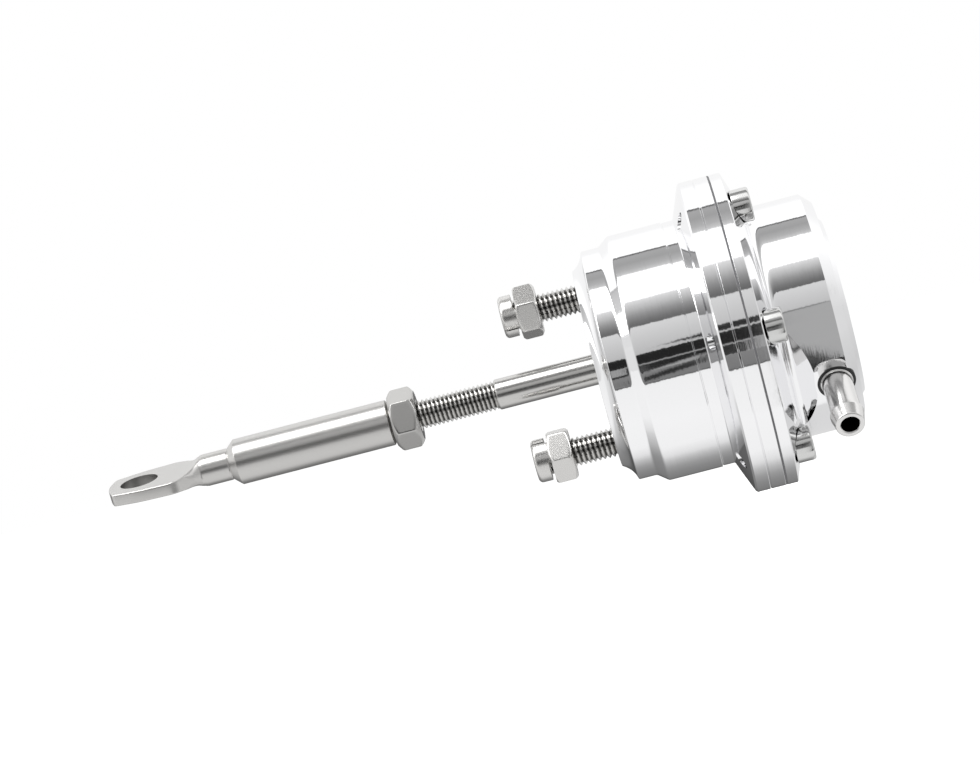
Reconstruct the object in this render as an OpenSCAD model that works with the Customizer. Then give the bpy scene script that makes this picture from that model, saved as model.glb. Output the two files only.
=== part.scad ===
// Pneumatic wastegate actuator for a turbocharger, in millimetres.
// The push rod lies along X and points to -X; the pressure cap is at the +X end.
// The origin is the centre of the mounting face, on the rod's axis.
// Angles around the axis start at -Y and turn towards -Z.

/* [Housing] */
// Length from the mounting face to the joint with the clamp ring
housing_len = 28.2; // [27:0.1:32]
// Thickness of the housing floor behind the mounting face
floor_t = 5.5; // [5:0.1:6.5]
// Radius of the mounting face
face_r = 20.5; // [20.4:0.1:21.5]
// Radius of the nose behind the mounting face
nose_r = 24; // [23.7:0.1:24.5]
// Axial length of the hollow curve between the mounting face and the nose
cove_len = 2.65; // [2.2:0.05:3]
// Length from the mounting face to the end of the nose
nose_len = 6.4; // [5.5:0.1:7.5]
// Axial length of the step between the nose and the barrel
step_len = 2.2; // [1.8:0.1:3]
// Radius of the barrel
barrel_r = 25.7; // [25.3:0.1:26]
// Distance of the turned groove from the flange joint
groove_back = 8.4; // [7:0.1:9]
// Width of the turned groove
groove_w = 0.25; // [0.2:0.05:0.6]
// Depth of the turned groove
groove_d = 0.3; // [0.2:0.05:0.5]
// Step down in the barrel's radius beyond the groove
barrel_step = 0.18; // [0.05:0.01:0.19]
// Radius of the bore that the piston works in
bore_r = 22.4; // [22:0.1:22.7]
// Radius of the boss that carries the rod bush
boss_r = 8; // [7.5:0.1:8.8]
// Radius of the vent hole in the floor
vent_r = 1; // [0.6:0.1:1.5]
// Distance of the vent hole from the axis
vent_place_r = 12.8; // [11:0.1:13.5]

/* [Flange joint] */
// Radius of the three flanges
flange_r = 32.5; // [32.4:0.1:34]
// Thickness of the housing flange at its rim
flange_rim_t = 2.8; // [2.4:0.1:3.2]
// Axial length of the housing flange's conical back
flange_cone_len = 3; // [2.5:0.1:3.5]
// Thickness of the clamp ring
ring_t = 3; // [2.5:0.1:5]
// Thickness of the diaphragm
diaphragm_t = 0.4; // [0.3:0.05:0.5]
// Distance that the diaphragm's edge stands back from the flange rims
diaphragm_inset = 0.3; // [0.2:0.1:1]
// Bevel on the flange rims
rim_bevel = 0.2; // [0.1:0.05:0.4]

/* [Pressure cap] */
// Thickness of the cap flange at its rim
cap_rim_t = 2.4; // [2:0.1:3]
// Length of the cap from the diaphragm to its end face
cap_len = 18.85; // [18:0.05:21]
// Radius of the cap's cylinder
cap_r = 24.2; // [24:0.1:24.5]
// Rise of the cap flange's cone for each millimetre of radius
cap_cone_rise = 0.33; // [0.28:0.01:0.36]
// Radius of the fillet between the cone and the cylinder
cap_fillet_r = 2.6; // [1.5:0.1:3]
// Bevel at the cap's end
cap_bevel = 2.15; // [1:0.05:3]
// Radius of the raised disc on the end face
disc_r = 18.9; // [16:0.1:20]
// Height of the raised disc
disc_h = 1.05; // [0.5:0.05:1.5]
// Distance that the cap's pocket stands in from the housing's bore
pocket_inset = 1; // [0.8:0.1:1.2]
// Depth of the pocket around the piston
pocket_depth = 4.4; // [4:0.1:4.6]
// Radius of the inner pocket over the piston nut
nut_pocket_r = 15; // [12:0.1:15.2]
// Thickness of the cap's end wall under the raised disc
end_wall_t = 1.95; // [1.5:0.05:2.2]
// Angle of the relief in front of the barb, around the axis
relief_angle = 31.5; // [30:0.5:34]
// Distance of the relief's bottom from the axis
relief_bottom_h = 20.8; // [20.6:0.1:21.4]
// Distance of the relief's bottom from the diaphragm
relief_place = 5.85; // [5.8:0.05:6.2]
// Slope of the relief's front side, in mm along the axis for each mm outwards
relief_front_slope = 0.26; // [0.22:0.01:0.33]
// Slope of the relief's back side, in mm outwards for each mm along the axis
relief_back_slope = 0.79; // [0.7:0.01:0.9]

/* [Cap screws] */
// Number of cap screws
screw_count = 6; // [3:1:8]
// Distance from the flange rims to the middle of a cap screw
screw_inset = 4.1; // [3.9:0.1:4.3]
// Nominal radius of a cap screw
screw_r = 2; // [1.5:0.25:2]
// Length of a cap screw under its head
screw_len = 10; // [9.5:0.1:10.9]
// Radius of a cap screw's head
screw_head_r = 3.5; // [3.2:0.1:3.6]
// Height of a cap screw's head
screw_head_h = 3.8; // [3.5:0.1:4.2]
// Width across flats of the screw's hexagon socket
screw_key = 3; // [2.5:0.1:3.2]
// Depth of the screw's hexagon socket
screw_key_depth = 2; // [1.5:0.1:2.2]
// Metal left under a screw head
screw_grip = 2.9; // [2.7:0.1:3]
// Radial gap between a screw head and its spot face's edge
spot_gap = 0.5; // [0.3:0.1:0.7]

/* [Hose barb] */
// Angle of the barb around the axis
barb_angle = 36; // [36:1:38]
// Distance of the barb from the diaphragm
barb_place = 14.1; // [13.8:0.1:14.4]
// Distance of the cap's flat from the axis
flat_h = 23.9; // [23.8:0.05:24]
// Distance of the barb's tip from the axis
barb_tip = 38; // [36:0.5:42]
// Radius of the barb's tube
barb_tube_r = 2.95; // [2.5:0.05:3.1]
// Radius of the barb's ridge
barb_ridge_r = 3.4; // [3.3:0.05:4]
// Length of the ridge's cylindrical land
barb_land = 0.6; // [0.4:0.1:1]
// Length of the cone from the ridge to the tip
barb_cone_len = 3; // [2:0.1:4]
// Radius of the barb's tip
barb_tip_r = 2.87; // [2.4:0.01:2.9]
// Radius of the barb's air passage
barb_bore_r = 1.85; // [1.2:0.05:1.95]
// Radius of the collar that bears on the seal
barb_collar_r = 3.35; // [3.2:0.05:3.6]
// Height of the collar
barb_collar_h = 0.35; // [0.3:0.05:0.6]
// Pitch radius of the barb's screw thread
barb_thread_r = 2.25; // [2.1:0.05:2.4]
// Outer radius of the seal
seal_r = 4; // [3.8:0.05:4.2]
// Thickness of the seal
seal_t = 0.9; // [0.6:0.1:1.2]

/* [Mounting studs] */
// Angle of the lower stud around the axis; the upper stud is opposite
stud_angle = 60; // [50:1:70]
// Radius of the circle that the studs stand on
stud_circle_r = 17.25; // [16.5:0.05:17.25]
// Nominal radius of a stud
stud_r = 3; // [2.5:0.5:3]
// Length that a stud stands out of the mounting face
stud_out = 16.5; // [14:0.1:18]
// Length of a stud in the housing floor
stud_in = 4.6; // [4:0.1:4.6]
// Distance of a lock nut from the mounting face
stud_nut_place = 8.8; // [4:0.1:10]
// Width across flats of a lock nut
stud_nut_flats = 10; // [9:0.1:10.2]
// Height of a lock nut's hexagon
stud_nut_hex_h = 4.7; // [4:0.1:5]
// Radius of a lock nut's collar
stud_nut_collar_r = 4.4; // [4.1:0.05:4.6]
// Height of a lock nut's collar
stud_nut_collar_h = 3.3; // [3:0.1:4]
// Width of the saw cut under the collar
stud_nut_cut = 0.6; // [0.4:0.05:0.9]
// Metal left between the hexagon and the saw cut
stud_nut_cut_rise = 0.12; // [0.1:0.01:0.3]
// Width of the split along the collar
stud_nut_split = 0.3; // [0.2:0.05:0.5]
// Distance of the split and of the saw cut's end from the stud's axis
stud_nut_split_place = 0.4; // [0:0.1:1]
// Turn of the upper lock nut around its stud
upper_nut_turn = -14.5; // [-30:0.5:30]
// Turn of the lower lock nut around its stud
lower_nut_turn = 5; // [-30:0.5:30]

/* [Rod and rod end] */
// Radius of the push rod
rod_r = 3.175; // [3.1:0.005:3.25]
// Distance from the mounting face to the start of the rod's thread
rod_thread_place = 21.2; // [20:0.1:30]
// Crest radius of the rod's thread
rod_thread_r = 3; // [2.9:0.05:3.05]
// Distance from the mounting face to the jam nut
jam_nut_place = 37.8; // [34:0.1:44]
// Height of the jam nut
jam_nut_h = 5.6; // [4.5:0.1:7]
// Width across flats of the jam nut
jam_nut_flats = 11.1; // [10.5:0.1:12]
// Turn of the jam nut around the rod
jam_nut_turn = -5; // [-30:1:30]
// Radius of the rod end's barrel
end_barrel_r = 4.76; // [4.5:0.01:5]
// Length of the rod end's barrel
end_barrel_len = 34; // [30:0.5:45]
// Radius of the rod end's neck
end_neck_r = 3.32; // [3.1:0.01:3.6]
// Length of the rod end's neck
end_neck_len = 6.5; // [5:0.1:9]
// Depth of the threaded hole in the rod end
end_hole_depth = 20; // [14:0.5:26]
// Free depth of that hole beyond the end of the rod
end_hole_room = 3; // [1:0.5:6]
// Thickness of the flattened eye
eye_t = 2.5; // [2:0.1:3.5]
// Largest half width of the flattened eye
eye_half_w = 7.65; // [7.3:0.05:8.5]
// Distance from the neck to the centre of the eye
eye_place = 13.2; // [12.5:0.1:14]
// Distance from the centre of the eye to the tip
eye_tip = 6.5; // [6.3:0.1:8]
// Radius of the hole in the eye
eye_hole_r = 4; // [3:0.05:4.2]
// Lean of the flattened eye around the rod's axis
eye_lean = 13.5; // [-90:0.5:90]

/* [Piston and springs] */
// Travel of the rod
travel = 12; // [10:0.5:12]
// Width of the annular space that the diaphragm rolls in, between bore and piston
roll_w = 2.4; // [2.3:0.05:2.5]
// Thickness of the piston's crown
crown_t = 2.5; // [2:0.1:3]
// Wall thickness of the piston's skirt
skirt_t = 1.5; // [1.2:0.1:1.7]
// Length of the piston from its crown to the end of the skirt
skirt_len = 9; // [8:0.1:10]
// Height of the piston's hub under the crown
hub_h = 2; // [1.5:0.1:3]
// Radius of the piston's hub
hub_r = 7; // [6:0.1:8]
// Distance from the crown's diaphragm face to the bottom of the diaphragm's roll
roll_depth = 7.05; // [6.7:0.05:7.4]
// Radius of the rod's stepped end
spigot_r = 2.5; // [2.2:0.1:2.8]
// Length that the stepped end stands out of its nut
spigot_out = 0.8; // [0.5:0.1:1.2]
// Distance that the diaphragm retainer's edge stands in from the piston's side
retainer_inset = 2.1; // [1.7:0.1:3]
// Thickness of the diaphragm retainer
retainer_t = 1.5; // [1.2:0.1:1.8]
// Radius of the washer under the piston nut
washer_r = 5; // [4.6:0.1:6]
// Thickness of the washer under the piston nut
washer_t = 0.8; // [0.6:0.1:1.2]
// Width across flats of the piston nut
piston_nut_flats = 8; // [7.5:0.1:9]
// Height of the piston nut
piston_nut_h = 4; // [3.5:0.1:4.5]
// Mean radius of the outer spring
outer_spring_r = 16; // [15.6:0.1:16.2]
// Wire thickness of the outer spring
outer_wire = 2.2; // [1.8:0.1:2.3]
// Turns of the outer spring
outer_turns = 5.75; // [5:0.25:5.75]
// Mean radius of the inner spring
inner_spring_r = 10.5; // [10:0.1:10.8]
// Wire thickness of the inner spring
inner_wire = 1.7; // [1.4:0.1:1.8]
// Turns of the inner spring
inner_turns = 7; // [5:0.5:7]
// Thickness of the sheet that the spring seat is pressed from
seat_t = 0.6; // [0.5:0.1:0.8]
// Height of the rings that keep the springs apart
spring_ring_h = 1.5; // [1:0.1:2]
// Thickness of the rings that keep the springs apart
spring_ring_t = 1.4; // [1:0.1:1.6]

/* [Bush and wiper] */
// Outer radius of the rod bush
bush_r = 4.9; // [4.5:0.1:5.3]
// Length of the rod bush
bush_len = 13.5; // [10:0.5:14]
// Radius of the wiper ring's seat
wiper_r = 6; // [5.6:0.1:7]
// Depth of the wiper ring's seat
wiper_depth = 3; // [2.5:0.1:3.5]
// Thickness of the wiper's lip and of its outer wall
wiper_wall = 0.7; // [0.5:0.05:0.8]

/* [Clearances] */
// Radial clearance of a sliding or turning fit
running_gap = 0.05; // [0.02:0.01:0.08]
// Gap between the end stops and the parts that meet them
stop_gap = 0.05; // [0.03:0.01:0.2]
// Radial clearance of a screw or a relief around its hole
hole_gap = 0.15; // [0.1:0.05:0.2]
// Gap between the rod end and the jam nut
jam_gap = 0.1; // [0.05:0.05:0.5]
// Gap between a stud's full thread and its lock nut
nut_gap = 0.2; // [0.1:0.05:0.4]
// Depth of the countersink around a stud at the mounting face
stud_relief_depth = 0.6; // [0.4:0.1:1]

/* [Hidden] */
$fn = 96;
// Steps of a rounded corner
corner_steps = 5;
// Steps of a spring's turn, and sides of its wire
coil_steps = 16;
wire_sides = 8;
// Share of a nominal thread radius at its pitch line, where two engaged threads meet
pitch_share = 0.9;
// Cutters run this far past the surface that they leave
past = 1;
// Solids that are joined into one piece run this far into each other
sink = 0.2;
// Roundings: small edges, inner roots, the pocket's floor and the relief's bottom
edge_round = 0.4;
root_round = 0.8;
pocket_round = 1.5;
relief_round = 1;
// Radii that the diaphragm bends over, at the clamp ring and at the piston's crown
ring_round = 0.8;
bend_round = 0.7;
crown_round = 1.05;
// Share of a hexagon's flats that its flat end face keeps
hex_face_share = 0.96;
// The cove behind the mounting face: its middle's share of the rise and of the length, and its bend
cove_rise_share = 0.38;
cove_len_share = 0.77;
cove_bend_share = 1.9;
// Sides of the turned groove lean by this share of its width
groove_lean_share = 0.2;
// Lean of the barb's cones: below the collar, and behind the ridge
collar_lean = 0.6;
ridge_lean = 0.3;
// Share of the roll's width that its bend keeps, so that both quarter bends just meet
roll_share = 0.999;
// Share of the wiper's depth that its dish takes, and the dish's slope in wall thicknesses
dish_share = 0.45;
dish_slope = 1.5;
// Rise of a closed end turn, as a share of the wire's thickness
closed_share = 1.03;

// Stations along X, from the mounting face to the cap
ring_x = housing_len;
diaphragm_x = ring_x + ring_t;
cap_x = diaphragm_x + diaphragm_t;
cap_rim_x = cap_x + cap_rim_t;
screw_seat_x = cap_x + screw_grip;
cap_end_x = cap_x + cap_len;
disc_x = cap_end_x + disc_h;
stop_x = cap_x + pocket_depth;
flange_back_x = housing_len - flange_rim_t;
flange_root_x = flange_back_x - flange_cone_len;
groove_x = housing_len - groove_back;
screw_circle_r = flange_r - screw_inset;
diaphragm_r = flange_r - diaphragm_inset;
piston_r = bore_r - roll_w;
pocket_r = bore_r - pocket_inset;
retainer_r = piston_r - retainer_inset;

// Stations of the piston stack, at rest against the cap's stop
retainer_x = stop_x - stop_gap - retainer_t;
crown_x = retainer_x - diaphragm_t;
under_x = crown_x - crown_t;
hub_x = under_x - hub_h;
washer_x = retainer_x + retainer_t;
piston_nut_x = washer_x + washer_t;
skirt_end_x = crown_x - skirt_len;
roll_x = crown_x - roll_depth;
boss_x = hub_x - travel - stop_gap;
seat_x = floor_t + seat_t;
spring_len = under_x - seat_x;

// Engaged threads, at their pitch line
stud_pitch_r = stud_r * pitch_share;
screw_pitch_r = screw_r * pitch_share;
rod_pitch_r = rod_thread_r * pitch_share;
spigot_pitch_r = spigot_r * pitch_share;

// Rings between the springs sit midway between the two coils
spring_ring_r = (outer_spring_r - outer_wire / 2 + inner_spring_r + inner_wire / 2) / 2;
spring_ring_in = spring_ring_r - spring_ring_t / 2;
spring_ring_out = spring_ring_r + spring_ring_t / 2;

// Stations of the rod end, measured towards -X
end_x = -(jam_nut_place + jam_nut_h + jam_gap);
neck_x = end_x - end_barrel_len;
eye_root_x = neck_x - end_neck_len;
eye_x = eye_root_x - eye_place;

function unit(v) = v / norm(v);

// Arc of radius r that rounds corner b of the path a, b, c
function corner(a, b, c, r) =
    is_undef(r) || r == 0 ? [b] :
    let (
        u = unit(a - b),
        v = unit(c - b),
        half = acos(u * v) / 2,
        mid = b + unit(u + v) * r / sin(half),
        start = b + u * r / tan(half) - mid,
        first = atan2(start[1], start[0]),
        sweep = sign(cross(b - a, c - b)) * (180 - 2 * half)
    )
    [for (i = [0:corner_steps])
        let (angle = first + sweep * i / corner_steps)
        mid + r * [cos(angle), sin(angle)]];

// Closed outline through points [across, along, rounding]
function outline(path) =
    let (last = len(path))
    [for (i = [0:last - 1])
        let (
            a = path[(i + last - 1) % last],
            b = path[i],
            c = path[(i + 1) % last]
        )
        each corner([a[0], a[1]], [b[0], b[1]], [c[0], c[1]], b[2])];

// A solid turned about the X axis from points [radius, place along X, rounding]
module turned(path) {
    rotate([0, 90, 0])
        rotate_extrude()
            polygon(outline(path));
}

// Children drawn upwards from the axis origin are laid along +X or -X, from x
module towards_cap(x) {
    translate([x, 0, 0])
        rotate([0, 90, 0])
            children();
}

module towards_rod_end(x) {
    translate([x, 0, 0])
        rotate([0, -90, 0])
            children();
}

// Children on the axis are moved to a circle of radius r, at an angle from -Y towards -Z
module at_circle(angle, r) {
    rotate([angle, 0, 0])
        translate([0, -r, 0])
            children();
}

// Children drawn upwards stand out from the axis at an angle
module outwards(x, angle) {
    translate([x, 0, 0])
        rotate([90 + angle, 0, 0])
            children();
}

module screw_pattern() {
    for (i = [0:screw_count - 1])
        at_circle(i * 360 / screw_count, screw_circle_r)
            children();
}

// Both studs: the lower at its angle and the upper opposite
module stud_pattern() {
    for (angle = [stud_angle, stud_angle + 180])
        at_circle(angle, stud_circle_r)
            children();
}

// A hexagon with corners along Y and both rims bevelled at 30 degrees from a circle
module hexagon(flats, h) {
    corner_r = flats / 2 / cos(30);
    rim_r = flats / 2 * hex_face_share;
    out_r = corner_r + past;
    fall = (out_r - rim_r) * tan(30);
    intersection() {
        rotate([0, 0, 30])
            cylinder(h = h, r = corner_r, $fn = 6);
        rotate_extrude()
            polygon([[0, 0], [rim_r, 0], [out_r, fall], [out_r, h - fall], [rim_r, h], [0, h]]);
    }
}

// Height of the wire's centre: the end turns lie closed, the others rise evenly
function coil_height(turn, turns, wire, h) =
    let (
        closed = wire * closed_share,
        span = h - wire,
        rise = (span - 2 * closed) / (turns - 2)
    )
    wire / 2 + (turn < 1 ? closed * turn
        : turn > turns - 1 ? span - closed * (turns - turn)
        : closed + rise * (turn - 1));

// A compression spring with closed ends, swept as rings of points along its helix
module coil(mean_r, wire, turns, h) {
    rings = round(turns * coil_steps);
    points = [
        for (i = [0:rings])
            let (
                turn = turns * i / rings,
                z = coil_height(turn, turns, wire, h)
            )
            for (j = [0:wire_sides - 1])
                let (
                    side = 360 * (j + 0.5) / wire_sides,
                    r = mean_r + wire / 2 * cos(side)
                )
                [r * cos(360 * turn), r * sin(360 * turn), z + wire / 2 * sin(side)]
    ];
    sides = [
        for (i = [0:rings - 1], j = [0:wire_sides - 1])
            let (
                a = i * wire_sides,
                k = (j + 1) % wire_sides
            )
            [a + j, a + k, a + k + wire_sides, a + j + wire_sides]
    ];
    first_end = [for (j = [wire_sides - 1:-1:0]) j];
    last_end = [for (j = [0:wire_sides - 1]) rings * wire_sides + j];
    polyhedron(points, concat(sides, [first_end, last_end]), convexity = 10);
}

// Billet housing: floor with the bush boss, stepped barrel and screwed flange
module spring_housing() color("lightgrey") {
    cove_mid_r = face_r + (nose_r - face_r) * cove_rise_share;
    cove_mid_x = cove_len * cove_len_share;
    groove_side = groove_w * groove_lean_share;
    groove_floor_r = barrel_r - groove_d;
    root_r = barrel_r - barrel_step;
    difference() {
        turned([
            [wiper_r, 0],
            [face_r, 0],
            [cove_mid_r, cove_mid_x, cove_len * cove_bend_share],
            [nose_r, cove_len, rim_bevel * 1.5],
            [nose_r, nose_len, step_len / 2],
            [barrel_r, nose_len + step_len, step_len / 2],
            [barrel_r, groove_x],
            [groove_floor_r, groove_x + groove_side],
            [groove_floor_r, groove_x + groove_w],
            [root_r, groove_x + groove_w + groove_side],
            [root_r, flange_root_x, rim_bevel * 1.5],
            [flange_r - rim_bevel * 2, flange_back_x - rim_bevel * 2],
            [flange_r, flange_back_x],
            [flange_r, housing_len - rim_bevel],
            [flange_r - rim_bevel, housing_len],
            [bore_r, housing_len],
            [bore_r, floor_t, root_round],
            [boss_r, floor_t, root_round],
            [boss_r, boss_x, edge_round],
            [bush_r, boss_x],
            [bush_r, wiper_depth],
            [wiper_r, wiper_depth]
        ]);
        stud_pattern() {
            towards_cap(-past)
                cylinder(r = stud_pitch_r, h = past + stud_in + stop_gap);
            towards_cap(-past)
                cylinder(r = stud_r + hole_gap / 2, h = past + stud_relief_depth);
        }
        screw_pattern()
            towards_cap(flange_root_x - past)
                cylinder(r = screw_pitch_r, h = housing_len - flange_root_x + 2 * past);
        at_circle(stud_angle - 90, vent_place_r)
            towards_cap(-past)
                cylinder(r = vent_r, h = floor_t + 2 * past);
    }
}

// A stud: full size where it stands free, at its pitch line in the housing and in its nut
module stud() {
    towards_rod_end(stud_in)
        cylinder(r = stud_pitch_r, h = stud_in + stud_out);
    towards_rod_end(0)
        cylinder(r = stud_r, h = stud_nut_place - nut_gap);
}

module upper_stud() color("silver")
    at_circle(stud_angle + 180, stud_circle_r)
        stud();

module lower_stud() color("silver")
    at_circle(stud_angle, stud_circle_r)
        stud();

// Lock nut whose round collar is split along the stud and undercut on one side, so that it grips
module lock_nut() {
    cut_h = stud_nut_hex_h + stud_nut_cut_rise;
    top = stud_nut_hex_h + stud_nut_collar_h;
    difference() {
        union() {
            hexagon(stud_nut_flats, stud_nut_hex_h);
            rotate_extrude()
                polygon(outline([
                    [0, stud_nut_hex_h - sink],
                    [stud_nut_collar_r, stud_nut_hex_h - sink],
                    [stud_nut_collar_r, top - rim_bevel * 2],
                    [stud_nut_collar_r - rim_bevel * 2, top],
                    [0, top]
                ]));
        }
        translate([0, 0, -past])
            cylinder(r = stud_pitch_r + running_gap, h = top + 2 * past);
        translate([-stud_nut_split_place - stud_nut_flats, -stud_nut_flats, cut_h])
            cube([stud_nut_flats, 2 * stud_nut_flats, stud_nut_cut]);
        translate([
            -stud_nut_split_place - stud_nut_split / 2,
            -stud_nut_flats,
            cut_h + stud_nut_cut / 2
        ])
            cube([stud_nut_split, stud_nut_flats, stud_nut_collar_h + past]);
    }
}

module upper_stud_nut() color("gainsboro")
    at_circle(stud_angle + 180, stud_circle_r)
        rotate([upper_nut_turn - stud_angle - 180, 0, 0])
            towards_rod_end(-stud_nut_place)
                lock_nut();

module lower_stud_nut() color("gainsboro")
    at_circle(stud_angle, stud_circle_r)
        rotate([lower_nut_turn - stud_angle, 0, 0])
            towards_rod_end(-stud_nut_place)
                lock_nut();

module rod_bush() color("peru") {
    inner_r = rod_r + running_gap;
    turned([
        [inner_r, wiper_depth],
        [bush_r, wiper_depth],
        [bush_r, wiper_depth + bush_len - rim_bevel],
        [bush_r - rim_bevel, wiper_depth + bush_len],
        [inner_r, wiper_depth + bush_len]
    ]);
}

// Rubber ring with a lip that wipes the rod
module rod_wiper() color("dimgrey") {
    inner_r = rod_r + running_gap;
    dish_x = wiper_depth * dish_share;
    turned([
        [inner_r, rim_bevel],
        [inner_r + rim_bevel, rim_bevel],
        [inner_r + wiper_wall * dish_slope, dish_x],
        [wiper_r - wiper_wall * dish_slope, dish_x],
        [wiper_r - wiper_wall, rim_bevel * 2],
        [wiper_r, rim_bevel * 2],
        [wiper_r, wiper_depth],
        [inner_r + wiper_wall, wiper_depth],
        [inner_r, rim_bevel * 3]
    ]);
}

// Pressed seat on the floor, with a raised ring between the springs
module spring_seat() color("darkgrey") {
    hole_r = boss_r + root_round + 2 * hole_gap;
    turned([
        [hole_r, floor_t],
        [outer_spring_r + outer_wire, floor_t],
        [outer_spring_r + outer_wire, seat_x],
        [spring_ring_out, seat_x],
        [spring_ring_out, seat_x + spring_ring_h, edge_round],
        [spring_ring_in, seat_x + spring_ring_h, edge_round],
        [spring_ring_in, seat_x],
        [hole_r, seat_x]
    ]);
}

module outer_spring() color("slategrey")
    towards_cap(seat_x)
        coil(outer_spring_r, outer_wire, outer_turns, spring_len);

module inner_spring() color("slategrey")
    towards_cap(seat_x)
        coil(inner_spring_r, inner_wire, inner_turns, spring_len);

// Ring whose rounded inner edge leads the diaphragm into the bore
module clamp_ring() color("lightgrey") {
    difference() {
        turned([
            [bore_r, ring_x],
            [flange_r - rim_bevel, ring_x],
            [flange_r, ring_x + rim_bevel],
            [flange_r, diaphragm_x - rim_bevel],
            [flange_r - rim_bevel, diaphragm_x],
            [bore_r, diaphragm_x, ring_round]
        ]);
        screw_pattern()
            towards_cap(ring_x - past)
                cylinder(r = screw_r + hole_gap, h = ring_t + 2 * past);
    }
}

// Rolling diaphragm of even thickness: flat rim, a roll between bore and piston, flat middle
module diaphragm() color("dimgrey") {
    outer = bore_r - running_gap;
    inner = piston_r + running_gap;
    roll_r = (outer - inner) / 2 * roll_share;
    difference() {
        turned([
            [diaphragm_r, diaphragm_x],
            [diaphragm_r, cap_x],
            [outer - diaphragm_t, cap_x, bend_round + diaphragm_t],
            [outer - diaphragm_t, roll_x + diaphragm_t, roll_r - diaphragm_t],
            [inner + diaphragm_t, roll_x + diaphragm_t, roll_r - diaphragm_t],
            [inner + diaphragm_t, retainer_x, crown_round + diaphragm_t],
            [spigot_r, retainer_x],
            [spigot_r, crown_x],
            [inner, crown_x, crown_round],
            [inner, roll_x, roll_r],
            [outer, roll_x, roll_r],
            [outer, diaphragm_x, bend_round]
        ]);
        screw_pattern()
            towards_cap(diaphragm_x - past)
                cylinder(r = screw_r + hole_gap, h = diaphragm_t + 2 * past);
    }
}

// Straight groove in front of the barb: its front side carries on the flange's cone
module relief_cutter() {
    top = flange_r + past;
    rise = top - relief_bottom_h;
    bottom_x = cap_x + relief_place;
    section = outline([
        [bottom_x, relief_bottom_h, relief_round],
        [bottom_x + rise / relief_back_slope, top],
        [bottom_x - rise * relief_front_slope, top]
    ]);
    rotate([relief_angle, 0, 0])
        mirror([0, 1, 0])
            linear_extrude(height = 2 * flange_r, center = true)
                polygon(section);
}

// Billet cap: conical flange with spot faces, stepped pocket, relief and flat for the barb
module pressure_cap() color("silver") {
    cone_top_r = flange_r - rim_bevel;
    cone_foot_x = cap_rim_x + (cone_top_r - cap_r) * cap_cone_rise;
    inner_end_x = cap_end_x - end_wall_t;
    barb_x = cap_x + barb_place;
    flat_x = cap_x + relief_place + (flat_h - relief_bottom_h) / relief_back_slope;
    difference() {
        turned([
            [0, inner_end_x],
            [nut_pocket_r, inner_end_x, pocket_round],
            [nut_pocket_r, stop_x],
            [pocket_r, stop_x, edge_round],
            [pocket_r, cap_x],
            [flange_r - rim_bevel, cap_x],
            [flange_r, cap_x + rim_bevel],
            [flange_r, cap_rim_x - rim_bevel],
            [cone_top_r, cap_rim_x],
            [cap_r, cone_foot_x, cap_fillet_r],
            [cap_r, cap_end_x - cap_bevel],
            [cap_r - cap_bevel, cap_end_x],
            [disc_r, cap_end_x],
            [disc_r - disc_h, disc_x],
            [0, disc_x]
        ]);
        screw_pattern() {
            towards_cap(cap_x - past)
                cylinder(r = screw_r + hole_gap, h = screw_grip + 2 * past);
            towards_cap(screw_seat_x)
                cylinder(r = screw_head_r + spot_gap, h = cap_len);
        }
        relief_cutter();
        rotate([barb_angle, 0, 0])
            translate([flat_x, -2 * flat_h, -flat_h])
                cube([cap_len, flat_h, 2 * flat_h]);
        outwards(barb_x, barb_angle) {
            translate([0, 0, flat_h - seal_t])
                cylinder(r = seal_r, h = seal_t + past);
            cylinder(r = barb_thread_r, h = flat_h);
        }
    }
}

module cap_screw() {
    top = screw_seat_x + screw_head_h;
    engaged = screw_seat_x - screw_len;
    difference() {
        union() {
            towards_cap(screw_seat_x)
                rotate_extrude()
                    polygon(outline([
                        [0, 0],
                        [screw_head_r, 0],
                        [screw_head_r, screw_head_h, edge_round],
                        [0, screw_head_h]
                    ]));
            towards_cap(housing_len)
                cylinder(r = screw_r, h = screw_seat_x - housing_len);
            towards_cap(engaged)
                cylinder(r = screw_pitch_r, h = housing_len - engaged);
        }
        towards_cap(top - screw_key_depth)
            cylinder(r = screw_key / 2 / cos(30), h = screw_key_depth + past, $fn = 6);
    }
}

module cap_screws() color("darkgrey")
    screw_pattern()
        cap_screw();

// Barb: threaded shank, collar on the seal, tube and one sharp ridge with a lead cone
module hose_barb() color("silver") {
    ridge = barb_tip - barb_cone_len;
    ridge_back = ridge - barb_land;
    collar_top = flat_h + barb_collar_h;
    collar_fall = (barb_collar_r - barb_tube_r) * collar_lean;
    ridge_foot = ridge_back - (barb_ridge_r - barb_tube_r) * ridge_lean;
    outwards(cap_x + barb_place, barb_angle)
        rotate_extrude()
            polygon(outline([
                [barb_bore_r, nut_pocket_r + past],
                [barb_thread_r, nut_pocket_r + past],
                [barb_thread_r, flat_h],
                [barb_collar_r, flat_h],
                [barb_collar_r, collar_top, barb_collar_h / 2],
                [barb_tube_r, collar_top + collar_fall],
                [barb_tube_r, ridge_foot],
                [barb_ridge_r, ridge_back],
                [barb_ridge_r, ridge],
                [barb_tip_r, barb_tip],
                [barb_bore_r, barb_tip]
            ]));
}

module barb_seal() color("dimgrey")
    outwards(cap_x + barb_place, barb_angle)
        rotate_extrude()
            polygon(outline([
                [barb_thread_r, flat_h - seal_t],
                [seal_r, flat_h - seal_t],
                [seal_r, flat_h, seal_t / 3],
                [barb_thread_r, flat_h]
            ]));

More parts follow.
